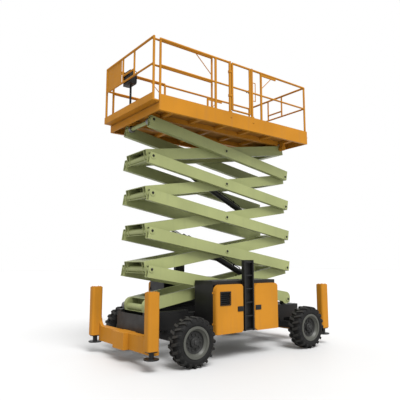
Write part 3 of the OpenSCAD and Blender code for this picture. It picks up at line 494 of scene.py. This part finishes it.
def slab(bm, low, high, edge=0.003, place=Matrix()):
    """Box from its low to its high corner, with rounded edges."""
    low, high = Vector(low), Vector(high)
    size = high - low
    shape = place @ Matrix.Translation((low + high) / 2) @ Matrix.Diagonal((*size, 1.0))
    made = bmesh.ops.create_cube(bm, size=1.0, matrix=shape)["verts"]
    borders = list({e for v in made for e in v.link_edges})
    most = 0.4 * min(size)
    bmesh.ops.bevel(bm, geom=borders, offset=min(edge, most), segments=2, profile=0.6, affect="EDGES")


def rounded(points, radius, steps=5):
    """The points with each inner corner swapped for a curve that starts radius before it."""
    points = [Vector(p) for p in points]
    path = [points[0]]
    for before, corner, after in zip(points, points[1:], points[2:]):
        start = corner + (before - corner).normalized() * radius
        end = corner + (after - corner).normalized() * radius
        for step in range(steps + 1):
            t = step / steps
            path.append(start * (1 - t) ** 2 + corner * 2 * t * (1 - t) + end * t ** 2)
    path.append(points[-1])
    return path


def tube(bm, points, radius, sides=12):
    """Round bar along the points, with flat ends."""
    points = [Vector(p) for p in points]
    spokes = circle(sides)
    across = (points[1] - points[0]).normalized().orthogonal().normalized()
    rings = []
    for before, point, after in zip(points[:1] + points, points, points[1:] + points[-1:]):
        ahead = (after - before).normalized()
        across = (across - ahead * across.dot(ahead)).normalized()
        other = ahead.cross(across)
        rings.append([bm.verts.new(point + (across * s.x + other * s.y) * radius) for s in spokes])
    skin(bm, rings, around=True)
    bm.faces.new(rings[0][::-1])
    bm.faces.new(rings[-1])


# Revolved outlines of a bolt head and its washer, as shares of the width across flats: (radius, height)
WASHER = [(0, 0), (0.72, 0), (0.72, 0.084), (0.6768, 0.12), (0, 0.12)]
HEX_HEAD = [(0, 0.12), (0.57735, 0.12), (0.57735, 0.647), (0.50807, 0.74), (0, 0.74)]


def bolt(bm, place, across):
    """Hex bolt head on its washer, standing on place's XY plane."""
    for outline, sides in ((WASHER, 20), (HEX_HEAD, 6)):
        lathe(bm, [(r * across, h * across) for r, h in outline], place, sides)


def ring_weld(bm, place, radius, half_width, ripples=44):
    """Weld bead round a boss: a ring of overlapping ripples."""
    sides, dip = 6, 0.82
    section = circle(sides)
    rows = []
    for step, spoke in enumerate(circle(ripples * 2)):
        swell = half_width * (1.0 if step % 2 else dip)
        points = [spoke * (radius + swell * s.x) + UP * (swell * s.y) for s in section]
        rows.append([bm.verts.new(place @ point) for point in points])
    skin(bm, rows, around=True, back=True)


def finished_mesh(name, bm, smooth_angle=math.radians(32)):
    """The built faces as a mesh, smooth but for its hard edges."""
    bmesh.ops.recalc_face_normals(bm, faces=bm.faces)
    mesh = bpy.data.meshes.new(name)
    bm.to_mesh(mesh)
    bm.free()
    mesh.shade_smooth()
    mesh.set_sharp_from_angle(angle=smooth_angle)
    return mesh


def piece(name, bm, body, slot, at=None):
    """A new piece of the machine that rides on a body and takes a slot's finish."""
    mesh = finished_mesh(name, bm)
    mesh.materials.append(bpy.data.materials[slot])
    made = bpy.data.objects.new(name, mesh)
    bpy.context.scene.collection.objects.link(made)
    if at is not None:
        made.matrix_world = at
    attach(made, body)
    return made


def middle(node):
    """Middle of a solid's box."""
    low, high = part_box(node)
    return (low + high) / 2


# Operators

class LiftOperator:
    """What the making operators share."""

    bl_options = {"REGISTER", "UNDO"}


def second_finish(solid, finish, test):
    """Give another finish to those faces of a solid whose middle passes the test."""
    solid.data.materials.append(finish)
    to_world = solid.matrix_world
    for face in solid.data.polygons:
        face.material_index = int(test(to_world @ face.center))


def dish_test(rim):
    """Test for a place inside the dished part of a rim."""
    low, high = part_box(rim)
    axle = (low + high) / 2
    dish_r = (high.z - low.z) / 2 - RIM_RING
    return lambda spot: math.hypot(spot.x - axle.x, spot.z - axle.z) < dish_r


def vent_box(door):
    """Edges of the vent in a front door: low x, high x, low z, high z."""
    end_x = PIVOT[door].x - HINGE_OUT
    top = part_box(door)[1].z
    return end_x - VENT_IN - VENT_W, end_x - VENT_IN, top - VENT_DROP, top - VENT_DROP + VENT_H


def vent_test(door):
    """Test for a place in the vent of a front door."""
    x0, x1, z0, z1 = vent_box(door)
    return lambda spot: x0 < spot.x < x1 and z0 < spot.z < z1


def soften(solid, edge):
    """Join a solid's faces where they are flat, and round its edges."""
    weld = solid.modifiers.new("Joined corners", "WELD")
    weld.merge_threshold = 1e-5
    flat = solid.modifiers.new("Whole faces", "DECIMATE")
    flat.decimate_type = "DISSOLVE"
    flat.angle_limit = math.radians(0.4)
    flat.delimit = {"NORMAL", "MATERIAL"}
    soft = solid.modifiers.new("Soft edges", "BEVEL")
    soft.width = edge
    soft.segments = 2
    soft.limit_method = "ANGLE"
    soft.angle_limit = math.radians(40)
    shading = solid.modifiers.new("Even shading", "WEIGHTED_NORMAL")
    shading.keep_sharp = False


class FinishSolids(LiftOperator, bpy.types.Operator):
    """Paint every solid of the frame and soften its edges."""

    bl_idname = "lift.finish_solids"
    bl_label = "Paint the solids"

    def execute(self, context):
        finishes = make_finishes(context.scene.lift_paint)
        edge = context.scene.lift_fittings.edge
        for name, solid in frame["nodes"].items():
            solid.data.materials.clear()
            solid.data.materials.append(finishes[finish_of(name)])
            if name.startswith("rim"):
                # Faces in the rim's dish get the dark hub finish: partly its own colour, partly painted shade
                # in the deep dish
                second_finish(solid, finishes["hub_paint_and_dish_shade"], dish_test(name))
            if name.startswith("door_front"):
                # The vent's faces are painted black: painted shade for the dark openings of louvres that are
                # not built
                second_finish(solid, finishes["black_paint"], vent_test(name))
            soften(solid, edge)
        return {"FINISHED"}


def lug(bm, start, side, tyre_r, half, tread):
    """One lug from just past the tread's middle to the shoulder and down the sidewall.
    Stations along it: place across the tread, tip radius, root radius."""
    depth = tread.lug_depth
    stations = [
        (-0.07, tyre_r, tyre_r - 1.5 * depth), (0.25, tyre_r, tyre_r - 1.5 * depth),
        (0.55, tyre_r - 0.001, tyre_r - 1.5 * depth), (0.78, tyre_r - 0.004, tyre_r - 1.6 * depth),
        (0.91, tyre_r - 0.012, tyre_r - 1.8 * depth), (0.975, tyre_r - 0.024, tyre_r - 2.0 * depth),
        (1.0, tyre_r - 0.042, tyre_r - 2.3 * depth), (0.985, tyre_r - 0.062, tyre_r - 2.6 * depth),
    ]
    root_share, taper, flare, chamfer = 0.90, 0.10, 0.22, 0.004
    rows = []
    for place, tip, root in stations:
        reach = max(0.0, min(place, 1.0))
        turn = start + tread.lug_slant * (0.5 - reach)
        top = tread.lug_width / 2 * (1.0 - taper * reach)
        foot = top + flare * depth
        outline = [(-foot, root, root_share), (-top, tip - chamfer, 1.0), (-top + chamfer, tip, 1.0),
                   (top - chamfer, tip, 1.0), (top, tip - chamfer, 1.0), (foot, root, root_share)]
        row = []
        for across, r, share in outline:
            angle = turn + across / r
            height = side * half * place * share
            row.append(bm.verts.new((r * math.cos(angle), r * math.sin(angle), height)))
        rows.append(row)
    skin(bm, rows)
    bm.faces.new(rows[0])
    bm.faces.new(rows[-1][::-1])


def carcass_profile(tyre_r, half, rim_r, depth):
    """Half outline of the tyre under its lugs, from the bead to the middle: (radius, height)."""
    floor_r = tyre_r - depth
    wall = half - 0.008
    return [
        (rim_r, half - 0.034), (rim_r + 0.010, half - 0.027), (rim_r + 0.031, half - 0.026),
        (rim_r + 0.036, half - 0.018), (rim_r + 0.046, half - 0.014), (rim_r + 0.050, wall - 0.003),
        (rim_r + 0.075, wall), (rim_r + 0.098, wall - 0.002), (rim_r + 0.118, wall - 0.010),
        (floor_r - 0.008, wall - 0.024), (floor_r, half * 0.62), (floor_r + 0.001, 0.0),
    ]


def wheel_place(end, side):
    """Matrix at a wheel's middle with local +Z pointing out of the machine."""
    return toward(middle(f"tyre_{end}_{side}"), (0, SIDES[side], 0))


class MakeTyres(LiftOperator, bpy.types.Operator):
    """Make the four lugged tyres."""

    bl_idname = "lift.make_tyres"
    bl_label = "Tyres"

    def execute(self, context):
        tread = context.scene.lift_tyre
        pitch = FULL_TURN / tread.lug_count
        for end, side in CORNERS:
            name = f"tyre_{end}_{side}"
            low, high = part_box(name)
            tyre_r, half = (high.z - low.z) / 2, (high.y - low.y) / 2
            rim_low, rim_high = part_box(f"rim_{end}_{side}")
            rim_r = (rim_high.z - rim_low.z) / 2 - RIM_LIP
            bm = bmesh.new()
            outline = carcass_profile(tyre_r, half, rim_r, tread.lug_depth)
            whole = outline + [(r, -h) for r, h in outline[-2::-1]]
            lathe(bm, whole + whole[:1], Matrix(), segments=96)
            for row, shoulder in enumerate((1, -1)):
                for i in range(tread.lug_count):
                    lug(bm, (i + row / 2) * pitch, shoulder, tyre_r, half, tread)
            made = piece(f"lugged_{name}", bm, f"wheel_{end}_{side}", "tyre_rubber", wheel_place(end, side))
            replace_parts(made, name)
        return {"FINISHED"}


class MakeHubs(LiftOperator, bpy.types.Operator):
    """Make the hub caps and wheel nuts."""

    bl_idname = "lift.make_hubs"
    bl_label = "Hubs and nuts"

    # Revolved outline: (radius, height over the hub's end)
    cap = [
        (0.068, -0.004), (0.070, 0.003), (0.066, 0.008), (0.040, 0.012), (0.036, 0.024), (0.028, 0.030),
        (0, 0.031),
    ]
    cap_seat = 0.009
    # Place of the wheel's disc, as a share of the tyre's width, and length of the hub over it
    disc_share, hub_l = 1 / 6, 0.040
    # Bolts round the axle: their number, their circle's radius, their size beside a common bolt's
    nut_ring, cap_ring = (10, 0.120, 1.1), (6, 0.053, 0.6)

    def execute(self, context):
        across = context.scene.lift_fittings.bolt
        for end, side in CORNERS:
            low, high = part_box(f"tyre_{end}_{side}")
            disc = (high.y - low.y) * self.disc_share
            hub = disc + self.hub_l
            body, place = f"wheel_{end}_{side}", wheel_place(end, side)
            bm = bmesh.new()
            self.bolt_circle(bm, self.nut_ring, disc, across)
            nuts = piece(f"wheel_nuts_{end}_{side}", bm, body, "rim_paint", place)
            bm = bmesh.new()
            lathe(bm, [(r, hub + h) for r, h in self.cap], Matrix())
            self.bolt_circle(bm, self.cap_ring, hub + self.cap_seat, across)
            cap = piece(f"hub_cap_{end}_{side}", bm, body, "rim_paint", place)
            for made in (nuts, cap):
                made.data.materials[0] = bpy.data.materials["hub_paint_and_dish_shade"]
        return {"FINISHED"}

    def bolt_circle(self, bm, ring, height, across):
        """Bolts evenly round the axle."""
        count, radius, size = ring
        for spoke in circle(count):
            bolt(bm, Matrix.Translation(spoke * radius + UP * height), across * size)


def arm_pins(k):
    """Rear, middle and front pin of outer arm k."""
    rear = PIVOT["lift"] if k == 1 else PIVOT[f"step_{k - 1}"]
    centre = PIVOT[f"cross_{k}"]
    return rear, centre, centre * 2 - rear


class MakePinCaps(LiftOperator, bpy.types.Operator):
    """Make the pin ends, with their bolts and weld beads, on the scissor arms."""

    bl_idname = "lift.make_pin_caps"
    bl_label = "Pin ends and welds"

    # Revolved outline: (radius, height over the boss)
    pin_end = [(0.0, 0.003), (0.021, 0.003), (0.024, 0.0), (0.024, -0.001)]
    bolt_seat = 0.002
    # Radius of the bosses at the rear, middle and front pin, their height, and their gap to the weld
    boss_radii, boss_h, weld_gap = (0.055, 0.040, 0.055), 0.008, 0.001

    def execute(self, context):
        fittings = context.scene.lift_fittings
        for k in range(1, PAIRS + 1):
            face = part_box(f"outer_{k}")[1].y
            ends, welds = bmesh.new(), bmesh.new()
            for pin, boss_r in zip(arm_pins(k), self.boss_radii):
                for side in SIDES.values():
                    place = toward(Vector((pin.x, side * face, pin.z)), (0, side, 0))
                    lathe(ends, self.pin_end, place, segments=32)
                    bolt(ends, place @ Matrix.Translation(UP * self.bolt_seat), fittings.bolt)
                    back = place @ Matrix.Translation(UP * -self.boss_h)
                    ring_weld(welds, back, boss_r + self.weld_gap, fittings.weld)
            piece(f"pin_ends_{k}", ends, f"outer_{k}", "black_paint")
            piece(f"arm_welds_{k}", welds, f"outer_{k}", "olive_paint")
        return {"FINISHED"}


def runner_lane(y):
    """Whether the roll-out deck's runners pass over that place on the main deck."""
    inward, outward = 0.095, 0.005
    return -inward < abs(y) - EXTENSION_HALF_W < outward


def tread_lozenges(bm, low, high, top, pitch, height, keep):
    """Raised lozenges in a basket pattern over a deck, where keep(x, y) allows one."""
    length, width = pitch * 0.55, pitch * 0.17
    crest_l, crest_w, sunk = 0.7, 0.6, 0.0005
    columns = int((high.x - low.x) / pitch)
    rows = int((high.y - low.y) / pitch)
    for i in range(columns):
        for j in range(rows):
            x, y = low.x + (i + 0.5) * pitch, low.y + (j + 0.5) * pitch
            if not keep(x, y):
                continue
            turn = math.radians(45 if (i + j) % 2 else -45)
            place = Matrix.Translation((x, y, top)) @ Matrix.Rotation(turn, 4, "Z")
            base = [(-length / 2, 0), (0, -width / 2), (length / 2, 0), (0, width / 2)]
            foot = [bm.verts.new(place @ Vector((a, b, -sunk))) for a, b in base]
            crest = [bm.verts.new(place @ Vector((a * crest_l, b * crest_w, height))) for a, b in base]
            skin(bm, [foot, crest], around=True)
            bm.faces.new(crest)
            bm.faces.new(foot[::-1])


class MakeDeckTread(LiftOperator, bpy.types.Operator):
    """Make the lozenge tread of both decks."""

    bl_idname = "lift.make_deck_tread"
    bl_label = "Deck tread"

    def execute(self, context):
        fittings = context.scene.lift_fittings
        margin = Vector((0.05, 0.05, 0))
        for node, body in (("platform_deck", "platform"), ("extension_deck", "extension")):
            low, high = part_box(node)
            top = high.z
            if node == "extension_deck":
                low.y, high.y = -EXTENSION_HALF_W, EXTENSION_HALF_W
                top = low.z + DECK_SHEET
            bm = bmesh.new()
            tread_lozenges(bm, low + margin, high - margin, top, fittings.tread_pitch, fittings.tread_height,
                           lambda x, y: node == "extension_deck" or not runner_lane(y))
            piece(f"tread_{node}", bm, body, "deck_plate")
        return {"FINISHED"}


def inset(rectangle, sides, low, high):
    """A rectangle (low x, high x, low z, high z), less by margins at its sides, bottom and top."""
    x0, x1, z0, z1 = rectangle
    return x0 + sides, x1 - sides, z0 + low, z1 - high


class MakeDoorFittings(LiftOperator, bpy.types.Operator):
    """Make the door latches and the frames of the vents."""

    bl_idname = "lift.make_door_fittings"
    bl_label = "Door latches and vents"

    def execute(self, context):
        for end, side in CORNERS:
            door = f"door_{end}_{side}"
            low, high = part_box(door)
            face = high.y if side == "left" else low.y
            self.latch(door, face, low.x, high.x, end)
            if end == "front":
                self.vent_frame(door, face)
        return {"FINISHED"}

    def latch(self, door, face, x0, x1, end):
        """Paddle latch beside the ladder: a plate, its paddle and the finger lip below."""
        from_edge, width, height, middle_z = 0.020, 0.138, 0.085, 0.835
        rim, lip = 0.012, 0.018
        sunk, plate_out, paddle_in, paddle_out = 0.004, 0.005, 0.003, 0.009
        left = x0 + from_edge if end == "front" else x1 - from_edge - width
        plate = (left, left + width, middle_z - height / 2, middle_z + height / 2)
        bm = bmesh.new()
        self.on_face(bm, face, plate, -sunk, plate_out)
        self.on_face(bm, face, inset(plate, rim, rim + lip, rim), paddle_in, paddle_out)
        self.on_face(bm, face, inset(plate, rim, rim / 2, height - rim / 2 - lip), 0.0, paddle_out)
        piece(f"latch_of_{door}", bm, door, "control_plastic")

    def vent_frame(self, door, face):
        """Four strips round the black-painted vent, whose black is painted shade for its louvres."""
        x0, x1, z0, z1 = vent_box(door)
        width, sunk, proud = 0.014, 0.003, 0.005
        tall = (z0 - width, z1 + width)
        strips = (
            (x0, x1, z0 - width, z0), (x0, x1, z1, z1 + width),
            (x0 - width, x0, *tall), (x1, x1 + width, *tall),
        )
        bm = bmesh.new()
        for strip in strips:
            self.on_face(bm, face, strip, -sunk, proud)
        piece(f"vent_of_{door}", bm, door, "control_plastic")

    def on_face(self, bm, face, rectangle, inner, outer):
        """Rounded plate over a rectangle of a door's face, from inner to outer along the way out."""
        x0, x1, z0, z1 = rectangle
        out = math.copysign(1.0, face)
        y0, y1 = sorted((face + out * inner, face + out * outer))
        slab(bm, (x0, y0, z0), (x1, y1, z1), edge=0.004)


class MakeGuardRailFittings(LiftOperator, bpy.types.Operator):
    """Make the foot plates and weld beads of the guard rail posts, and the gate's latch."""

    bl_idname = "lift.make_guard_rail_fittings"
    bl_label = "Guard rail fittings"

    def execute(self, context):
        fittings = context.scene.lift_fittings
        hinge = PIVOT["gate_swing"]
        bead, ripples = fittings.weld * 0.6, 30
        for side, sign in SIDES.items():
            low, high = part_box(f"rails_{side}")
            posts = (low.x + RAIL_R, GATE_REAR - REAR_BAY, hinge.x + FRONT_BAY, high.x - RAIL_R)
            feet, beads = bmesh.new(), bmesh.new()
            for x in posts:
                spot = Vector((x, sign * hinge.y, low.z))
                self.foot(feet, spot, sign, fittings)
                under_rail = Vector((x, sign * hinge.y, high.z - 2 * RAIL_R))
                for place in (spot + UP * fittings.plate, under_rail):
                    ring_weld(beads, Matrix.Translation(place), POST_R, bead, ripples)
            piece(f"post_feet_{side}", feet, "platform", "orange_paint")
            piece(f"post_welds_{side}", beads, "platform", "orange_paint")
        self.latch(hinge.y)
        return {"FINISHED"}

    def foot(self, bm, spot, sign, fittings):
        """Plate under a post, with a bolt at each end."""
        half_l, inward, outward, bolt_x, bolt_y = 0.060, 0.045, 0.024, 0.042, 0.012
        across = fittings.bolt * 0.8
        y0, y1 = sorted((spot.y - sign * inward, spot.y + sign * outward))
        top = spot.z + fittings.plate
        slab(bm, (spot.x - half_l, y0, spot.z), (spot.x + half_l, y1, top))
        for step in (-bolt_x, bolt_x):
            place = Matrix.Translation((spot.x + step, spot.y - sign * bolt_y, top))
            bolt(bm, place, across)

    def latch(self, rail_y):
        """Sliding bolt with its knob, on the inside of the gate's free end."""
        low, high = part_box("gate")
        middle_z = (low.z + high.z) / 2
        at = Matrix.Translation((low.x + RAIL_R, rail_y - RAIL_R, middle_z))
        knob = [(0, 0), (0.008, 0), (0.008, 0.010), (0.014, 0.016), (0.014, 0.028), (0, 0.032)]
        half_l, inward, outward, half_h = 0.024, 0.011, 0.004, 0.030
        bar_y, bar_r, bar_from, bar_to = -0.008, 0.006, -0.030, 0.050
        knob_x, knob_y = 0.036, -0.009
        bm = bmesh.new()
        slab(bm, (-half_l, -inward, -half_h), (half_l, outward, half_h), edge=0.004, place=at)
        tube(bm, [at @ Vector((x, bar_y, 0)) for x in (bar_from, bar_to)], bar_r)
        lathe(bm, knob, toward(at @ Vector((knob_x, knob_y, 0)), (0, -1, 0)), segments=20)
        piece("gate_latch", bm, "gate", "control_plastic")


class MakeJackFittings(LiftOperator, bpy.types.Operator):
    """Make the bolted cover plates on top of the jack housings."""

    bl_idname = "lift.make_jack_fittings"
    bl_label = "Jack covers"

    def execute(self, context):
        fittings = context.scene.lift_fittings
        housing_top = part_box("jack_beams")[1].z
        half_l, half_w, bolt_in, sunk = 0.078, 0.058, 0.020, 0.002
        across = fittings.bolt * 0.5
        bm = bmesh.new()
        for end, side in CORNERS:
            leg = middle(f"jack_leg_{end}_{side}")
            at = Matrix.Translation((leg.x, leg.y, housing_top))
            slab(bm, (-half_l, -half_w, -sunk), (half_l, half_w, fittings.plate), edge=0.004, place=at)
            for x in (bolt_in - half_l, half_l - bolt_in):
                for y in (bolt_in - half_w, half_w - bolt_in):
                    bolt(bm, at @ Matrix.Translation((x, y, fittings.plate)), across)
        piece("jack_covers", bm, "chassis", "orange_paint")
        return {"FINISHED"}


class MakeCylinderFittings(LiftOperator, bpy.types.Operator):
    """Make the gland nuts, oil pipes and pipe clamps of the lift cylinders."""

    bl_idname = "lift.make_cylinder_fittings"
    bl_label = "Cylinder fittings"

    # Distance between the axes of barrel and pipe, and the clamps' places as shares of the barrel's length
    pipe_out, clamp_shares = BARREL_R + 0.028, (0.2, 0.5, 0.8)

    def execute(self, context):
        pipe_r = context.scene.lift_fittings.pipe / 2
        for level in ("low", "high"):
            foot = toward(PIVOT[f"barrel_tilt_{level}"], AXIS[f"rod_slide_{level}"])
            upward = foot.to_3x3().inverted() @ UP
            foot = foot @ Matrix.Rotation(math.atan2(upward.y, upward.x), 4, "Z")
            self.bands(foot, f"barrel_{level}", pipe_r)
            self.pipe(foot, f"barrel_{level}", pipe_r)
        return {"FINISHED"}

    def bands(self, foot, body, pipe_r):
        """Gland nut at the barrel's end, and clamps along it, each with a block round the pipe."""
        gland_r, clamp_r, half_w, rod_r = BARREL_R + 0.006, BARREL_R + 0.003, 0.012, 0.0315
        # Revolved outlines: (radius, height)
        gland = [(BARREL_R, -0.070), (gland_r, -0.066), (gland_r, -0.004), (BARREL_R - 0.002, 0.004),
                 (rod_r + 0.005, 0.006), (rod_r, 0.003)]
        clamp = [(BARREL_R, -half_w), (clamp_r, -half_w), (clamp_r, half_w), (BARREL_R, half_w)]
        wall = 0.006
        half = pipe_r + wall
        bm = bmesh.new()
        lathe(bm, gland, foot @ Matrix.Translation((0, 0, BARREL_L)))
        for share in self.clamp_shares:
            place = foot @ Matrix.Translation((0, 0, BARREL_L * share))
            lathe(bm, clamp, place)
            slab(bm, (BARREL_R - wall, -half, -half_w), (self.pipe_out + half, half, half_w),
                 edge=0.004, place=place)
        piece(f"bands_of_{body}", bm, body, "black_paint")

    def pipe(self, foot, body, pipe_r):
        """Steel pipe from the port at the gland, along the top of the barrel, to the port at its foot."""
        gland_port, foot_port, bend, seat = BARREL_L - 0.110, 0.160, 0.026, BARREL_R - 0.002
        nut_r, nut_h, chamfer_r, top = pipe_r + 0.008, 0.012, pipe_r + 0.005, 0.014
        route = [
            (seat, gland_port), (self.pipe_out, gland_port), (self.pipe_out, foot_port), (seat, foot_port),
        ]
        nut = [(pipe_r, 0), (nut_r, 0), (nut_r, nut_h), (chamfer_r, top), (pipe_r, top)]
        bm = bmesh.new()
        points = [foot @ Vector((out, 0, along)) for out, along in route]
        tube(bm, rounded(points, bend), pipe_r, sides=14)
        for along in (gland_port, foot_port):
            lathe(bm, nut, toward(foot @ Vector((seat, 0, along)), foot.col[0].to_3d()), segments=6)
        piece(f"pipe_of_{body}", bm, body, "black_paint")


class MakeControls(LiftOperator, bpy.types.Operator):
    """Make the control box with its lever, switches, stop button and wire guard."""

    bl_idname = "lift.make_controls"
    bl_label = "Control box"

    # Revolved outlines: (radius, height over the sloped face)
    switch = [(0, 0), (0.011, 0), (0.011, 0.004), (0.006, 0.006), (0.004, 0.022), (0.006, 0.027), (0, 0.028)]
    button = [(0, 0), (0.016, 0), (0.016, 0.012), (0.026, 0.014), (0.028, 0.022), (0.022, 0.029), (0, 0.031)]
    lever = [
        (0, 0), (0.032, 0), (0.030, 0.006), (0.024, 0.010), (0.020, 0.018), (0.014, 0.024), (0.010, 0.034),
        (0.010, 0.052), (0.016, 0.060), (0.018, 0.082), (0.014, 0.094), (0, 0.097),
    ]

    # Places on the sloped face: shares of its length from the ridge, and of its width
    switch_places = [(0.25, 0.50), (0.25, 0.63), (0.25, 0.76), (0.25, 0.89)]
    button_place, lever_place = (0.45, 0.16), (0.68, 0.66)

    def execute(self, context):
        low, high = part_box("control_box")
        base = high.z - CONTROL_BOX_H
        self.housing(low, high, base)
        self.guard(low, high, base, context.scene.lift_fittings.wire / 2)
        self.on_slope("control_switches", self.switch, self.switch_places, "plain_steel", low, high)
        stop = self.on_slope("stop_button", self.button, [self.button_place], "control_plastic", low, high)
        stop.data.materials[0] = moulded_plastic("stop_red", context.scene.lift_paint.stop_red, rough=0.3)
        self.on_slope("drive_lever", self.lever, [self.lever_place], "control_plastic", low, high)
        return {"FINISHED"}

    def on_slope(self, name, outline, places, slot, low, high):
        """Revolved pieces at places on the sloped face."""
        ridge = (low.x + high.x) / 2
        slope = Vector((low.x - ridge, 0, (SLOPE_FOOT - 1) * CONTROL_BOX_H))
        out = Vector((slope.z, 0, -slope.x))
        bm = bmesh.new()
        for down, across in places:
            spot = Vector((ridge, low.y + (high.y - low.y) * across, high.z)) + slope * down
            lathe(bm, outline, toward(spot, out), segments=28)
        return piece(name, bm, "extension", slot)

    def housing(self, low, high, base):
        """Console with a sloped face, on its square stand."""
        length, edge = high.x - low.x, 0.012
        side_view = [
            (0, 0), (length, 0), (length, CONTROL_BOX_H), (length / 2, CONTROL_BOX_H),
            (0, SLOPE_FOOT * CONTROL_BOX_H),
        ]
        bm = bmesh.new()
        right, left = (
            [bm.verts.new((low.x + x, y, base + z)) for x, z in side_view] for y in (low.y, high.y)
        )
        bm.faces.new(right)
        bm.faces.new(left[::-1])
        skin(bm, [left, right], around=True)
        bmesh.ops.bevel(bm, geom=list(bm.edges), offset=edge, segments=3, profile=0.5, affect="EDGES")
        half, foot, foot_t = 0.015, 0.040, 0.008
        x, y = low.x + foot + half, (low.y + high.y) / 2
        slab(bm, (x - half, y - half, low.z + foot_t / 2), (x + half, y + half, base + edge))
        slab(bm, (x - foot, y - foot, low.z), (x + foot, y + foot, low.z + foot_t))
        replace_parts(piece("control_housing", bm, "extension", "control_plastic"), "control_box")

    def guard(self, low, high, base, wire_r):
        """Wire loops at both sides of the console."""
        gap, bend = 0.008, 0.035
        x0, x1, z0, z1 = low.x + gap, high.x - gap, base + gap, high.z - gap
        bm = bmesh.new()
        for y in (low.y - wire_r, high.y + wire_r):
            loop = [(x1, y, z1), (x0, y, z1), (x0, y, z0), (x1, y, z0)]
            tube(bm, rounded(loop, bend), wire_r, sides=10)
        piece("control_guard", bm, "extension", "control_plastic")


class MakeStage(LiftOperator, bpy.types.Operator):
    """Make the camera, the pale floor and the soft studio light."""

    bl_idname = "lift.make_stage"
    bl_label = "Studio"

    def execute(self, context):
        scene = context.scene
        stage = scene.lift_stage
        far, white = 200, (1, 1, 1, 1)
        camera = bpy.data.objects.new("camera", bpy.data.cameras.new("camera"))
        camera.data.lens = stage.lens
        camera.data.clip_end = far
        camera.matrix_world = Matrix.Translation(stage.camera) @ Vector(stage.heading).to_track_quat(
            "-Z", "Y").to_matrix().to_4x4()
        scene.collection.objects.link(camera)
        scene.camera = camera
        self.floor(scene, stage)
        self.key_light(scene, stage)
        world = bpy.data.worlds.new("studio")
        world.use_nodes = True
        sky = world.node_tree.nodes["Background"].inputs
        sky["Color"].default_value = white
        sky["Strength"].default_value = stage.sky
        scene.world = world
        scene.view_settings.view_transform = "Standard"
        return {"FINISHED"}

    def floor(self, scene, stage):
        """Wide floor at the height of the tyres' underside."""
        bm = bmesh.new()
        reach, cells = 60.0, 12
        level = Matrix.Translation((0, 0, CAD_BOX[0].z))
        bmesh.ops.create_grid(bm, x_segments=cells, y_segments=cells, size=reach, matrix=level)
        floor = bpy.data.objects.new("floor", finished_mesh("floor", bm))
        floor.data.materials.append(pale_floor("floor", stage.floor))
        scene.collection.objects.link(floor)

    def key_light(self, scene, stage):
        """Far, wide light that gives soft shadows."""
        lamp = bpy.data.lights.new("key", "SUN")
        lamp.energy = stage.key
        lamp.angle = stage.key_spread
        holder = bpy.data.objects.new("key", lamp)
        holder.matrix_world = toward(CAD_BOX[1], stage.key_from)
        scene.collection.objects.link(holder)


MAKERS = (
    FinishSolids, MakeTyres, MakeHubs, MakePinCaps, MakeCylinderFittings, MakeDeckTread,
    MakeGuardRailFittings, MakeJackFittings, MakeDoorFittings, MakeControls, MakeStage,
)


class LiftPanel(bpy.types.Panel):
    """Buttons that make the machine's looks, and the sizes and colours they use."""

    bl_idname = "VIEW3D_PT_scissor_lift"
    bl_label = "Scissor lift"
    bl_space_type = "VIEW_3D"
    bl_region_type = "UI"
    bl_category = "Scissor lift"

    def draw(self, context):
        for maker in MAKERS:
            self.layout.operator(maker.bl_idname)
        for group in PROPERTY_GROUPS:
            settings = getattr(context.scene, group)
            for key in settings.__annotations__:
                self.layout.prop(settings, key)


CLASSES = (*PROPERTY_GROUPS.values(), *MAKERS, LiftPanel)


def register():
    for made in CLASSES:
        bpy.utils.register_class(made)
    for name, group in PROPERTY_GROUPS.items():
        setattr(bpy.types.Scene, name, PointerProperty(type=group))


def unregister():
    for name in PROPERTY_GROUPS:
        delattr(bpy.types.Scene, name)
    for made in reversed(CLASSES):
        bpy.utils.unregister_class(made)


def main():
    register()
    for maker in MAKERS:
        group, name = maker.bl_idname.split(".")
        getattr(getattr(bpy.ops, group), name)()


if __name__ == "__main__":
    main()
